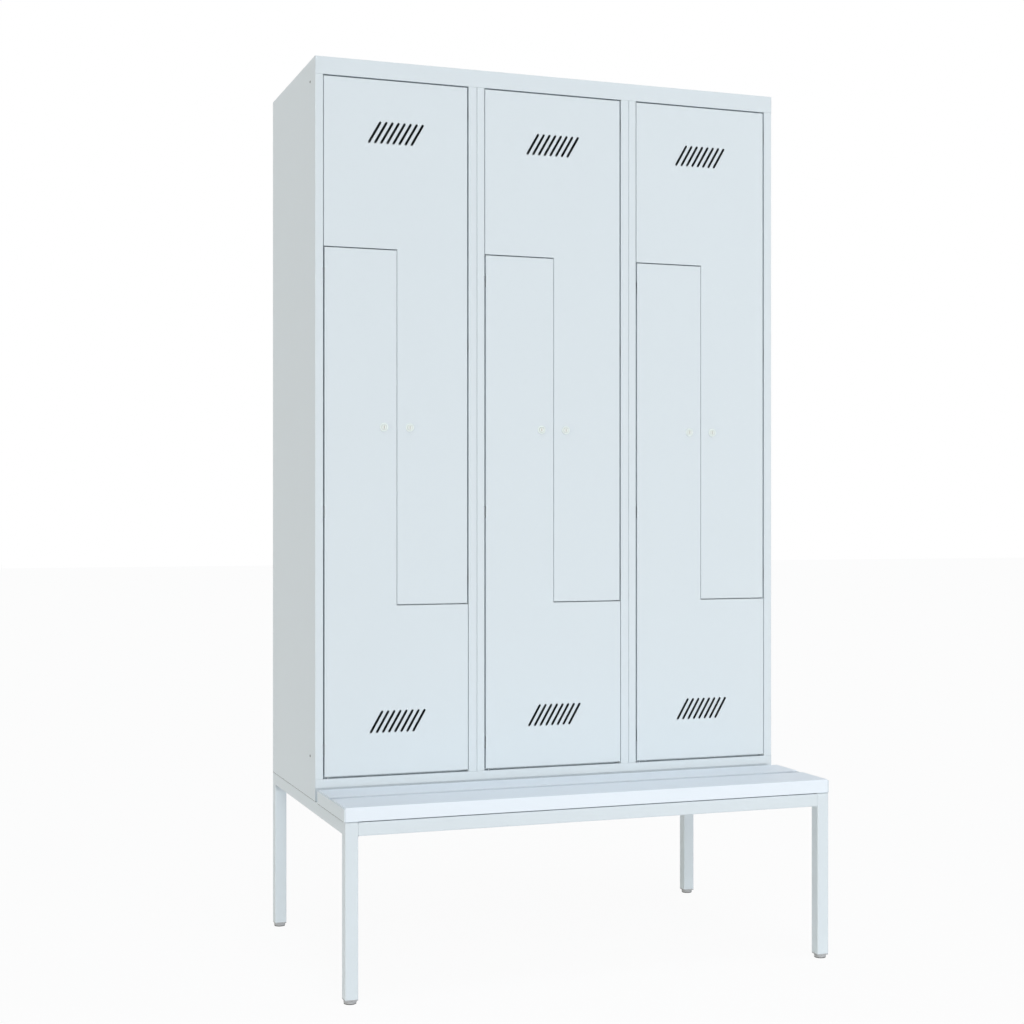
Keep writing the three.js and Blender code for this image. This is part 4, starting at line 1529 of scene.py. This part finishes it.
world = bpy.data.worlds.new("white_room")
bpy.context.scene.world = world
world.use_nodes = True
sky = Graph(world.node_tree)
strength = WORLD_LIGHT + seen_directly(sky) * (1.0 - WORLD_LIGHT)
sky_light = sky.node("ShaderNodeBackground", {}, {"Color": (1, 1, 1, 1), "Strength": strength})
sky.node("ShaderNodeOutputWorld", {}, {"Surface": sky_light.out("Background")})
print("the sky lights the locker with", WORLD_LIGHT, "of plain white")

# %% Place the lamps
LAMPS = {
    "front": {"turn": -8, "rise": 22, "share": 0.165, "disc": 20, "tint": (1.0, 0.99, 0.985)},
    "side": {"turn": -78, "rise": 1.5, "share": 0.255, "disc": 3, "tint": (1.0, 0.955, 0.83)},
    "top": {"turn": 0, "rise": 78, "share": 0.25, "disc": 30, "tint": (0.86, 0.92, 1.0)},
}
STRIP_BOX = {"turn": 22, "distance": 16.0, "height": 0.55, "share": 0.33, "size": (2.5, 0.3)}


def towards(turn, rise):
    """The direction of a lamp that stands `turn` degrees to the right of the front and `rise` up:
    (sin t cos r, -cos t cos r, sin r)."""
    turn, rise = math.radians(turn), math.radians(rise)
    level_part = math.cos(rise)
    return Vector((math.sin(turn) * level_part, -math.cos(turn) * level_part, math.sin(rise)))


def place_lamp(lamp_data, direction, place=(0, 0, 0)):
    """Stands a lamp so that it shines against `direction`, unseen by camera and reflections."""
    lamp_object = bpy.data.objects.new(lamp_data.name, lamp_data)
    lamp_object.location = place
    lamp_object.rotation_mode = "QUATERNION"
    lamp_object.rotation_quaternion = direction.to_track_quat("Z", "Y")
    lamp_object.visible_glossy = False
    lamp_object.visible_camera = False
    bpy.context.scene.collection.objects.link(lamp_object)


for lamp_name, lamp in LAMPS.items():
    lamp_data = bpy.data.lights.new(lamp_name, "SUN")
    lamp_data.energy = lamp["share"] * math.pi
    lamp_data.angle = math.radians(lamp["disc"])
    lamp_data.color = lamp["tint"]
    place_lamp(lamp_data, towards(lamp["turn"], lamp["rise"]))

strip_box = bpy.data.lights.new("strip_box", "AREA")
strip_box.shape = "RECTANGLE"
strip_box.size, strip_box.size_y = STRIP_BOX["size"]
strip_box.energy = STRIP_BOX["share"] * (math.pi * STRIP_BOX["distance"]) ** 2
ahead = towards(STRIP_BOX["turn"], 0)
place_lamp(strip_box, ahead, ahead * STRIP_BOX["distance"] + Vector((0, 0, STRIP_BOX["height"])))
print(len(LAMPS), "far lamps and a strip box", STRIP_BOX["distance"], "m away")

# %% Lay the floor
FLOOR_SIDE = 60.0
FLOOR_WHITE = (0.90, 0.90, 0.90, 1)
FLOOR_GLOW = 0.94

paper = bpy.data.materials.new("white_paper")
paper.use_nodes = True
sheet_graph = Graph(paper.node_tree)
lit = sheet_graph.node("ShaderNodeBsdfDiffuse", {}, {"Color": FLOOR_WHITE}).out("BSDF")
glow = sheet_graph.node("ShaderNodeEmission", {}, {"Color": (1, 1, 1, 1)}).out("Emission")
share = seen_directly(sheet_graph) * FLOOR_GLOW
mixed = sheet_graph.node("ShaderNodeMixShader", {}, {0: share, 1: lit, 2: glow}).out("Shader")
sheet_graph.node("ShaderNodeOutputMaterial", {}, {"Surface": mixed})
floor_mesh = bpy.data.meshes.new("floor")
corners = [(x * FLOOR_SIDE / 2, y * FLOOR_SIDE / 2, 0) for x, y in ((-1, -1), (1, -1), (1, 1), (-1, 1))]
floor_mesh.from_pydata(corners, [], [(0, 1, 2, 3)])
floor_mesh.materials.append(paper)
floor = bpy.data.objects.new("floor", floor_mesh)
bpy.context.scene.collection.objects.link(floor)
print("the floor is", FLOOR_SIDE, "m wide")

# %% Finish
bpy.context.scene.view_settings.view_transform = "Standard"
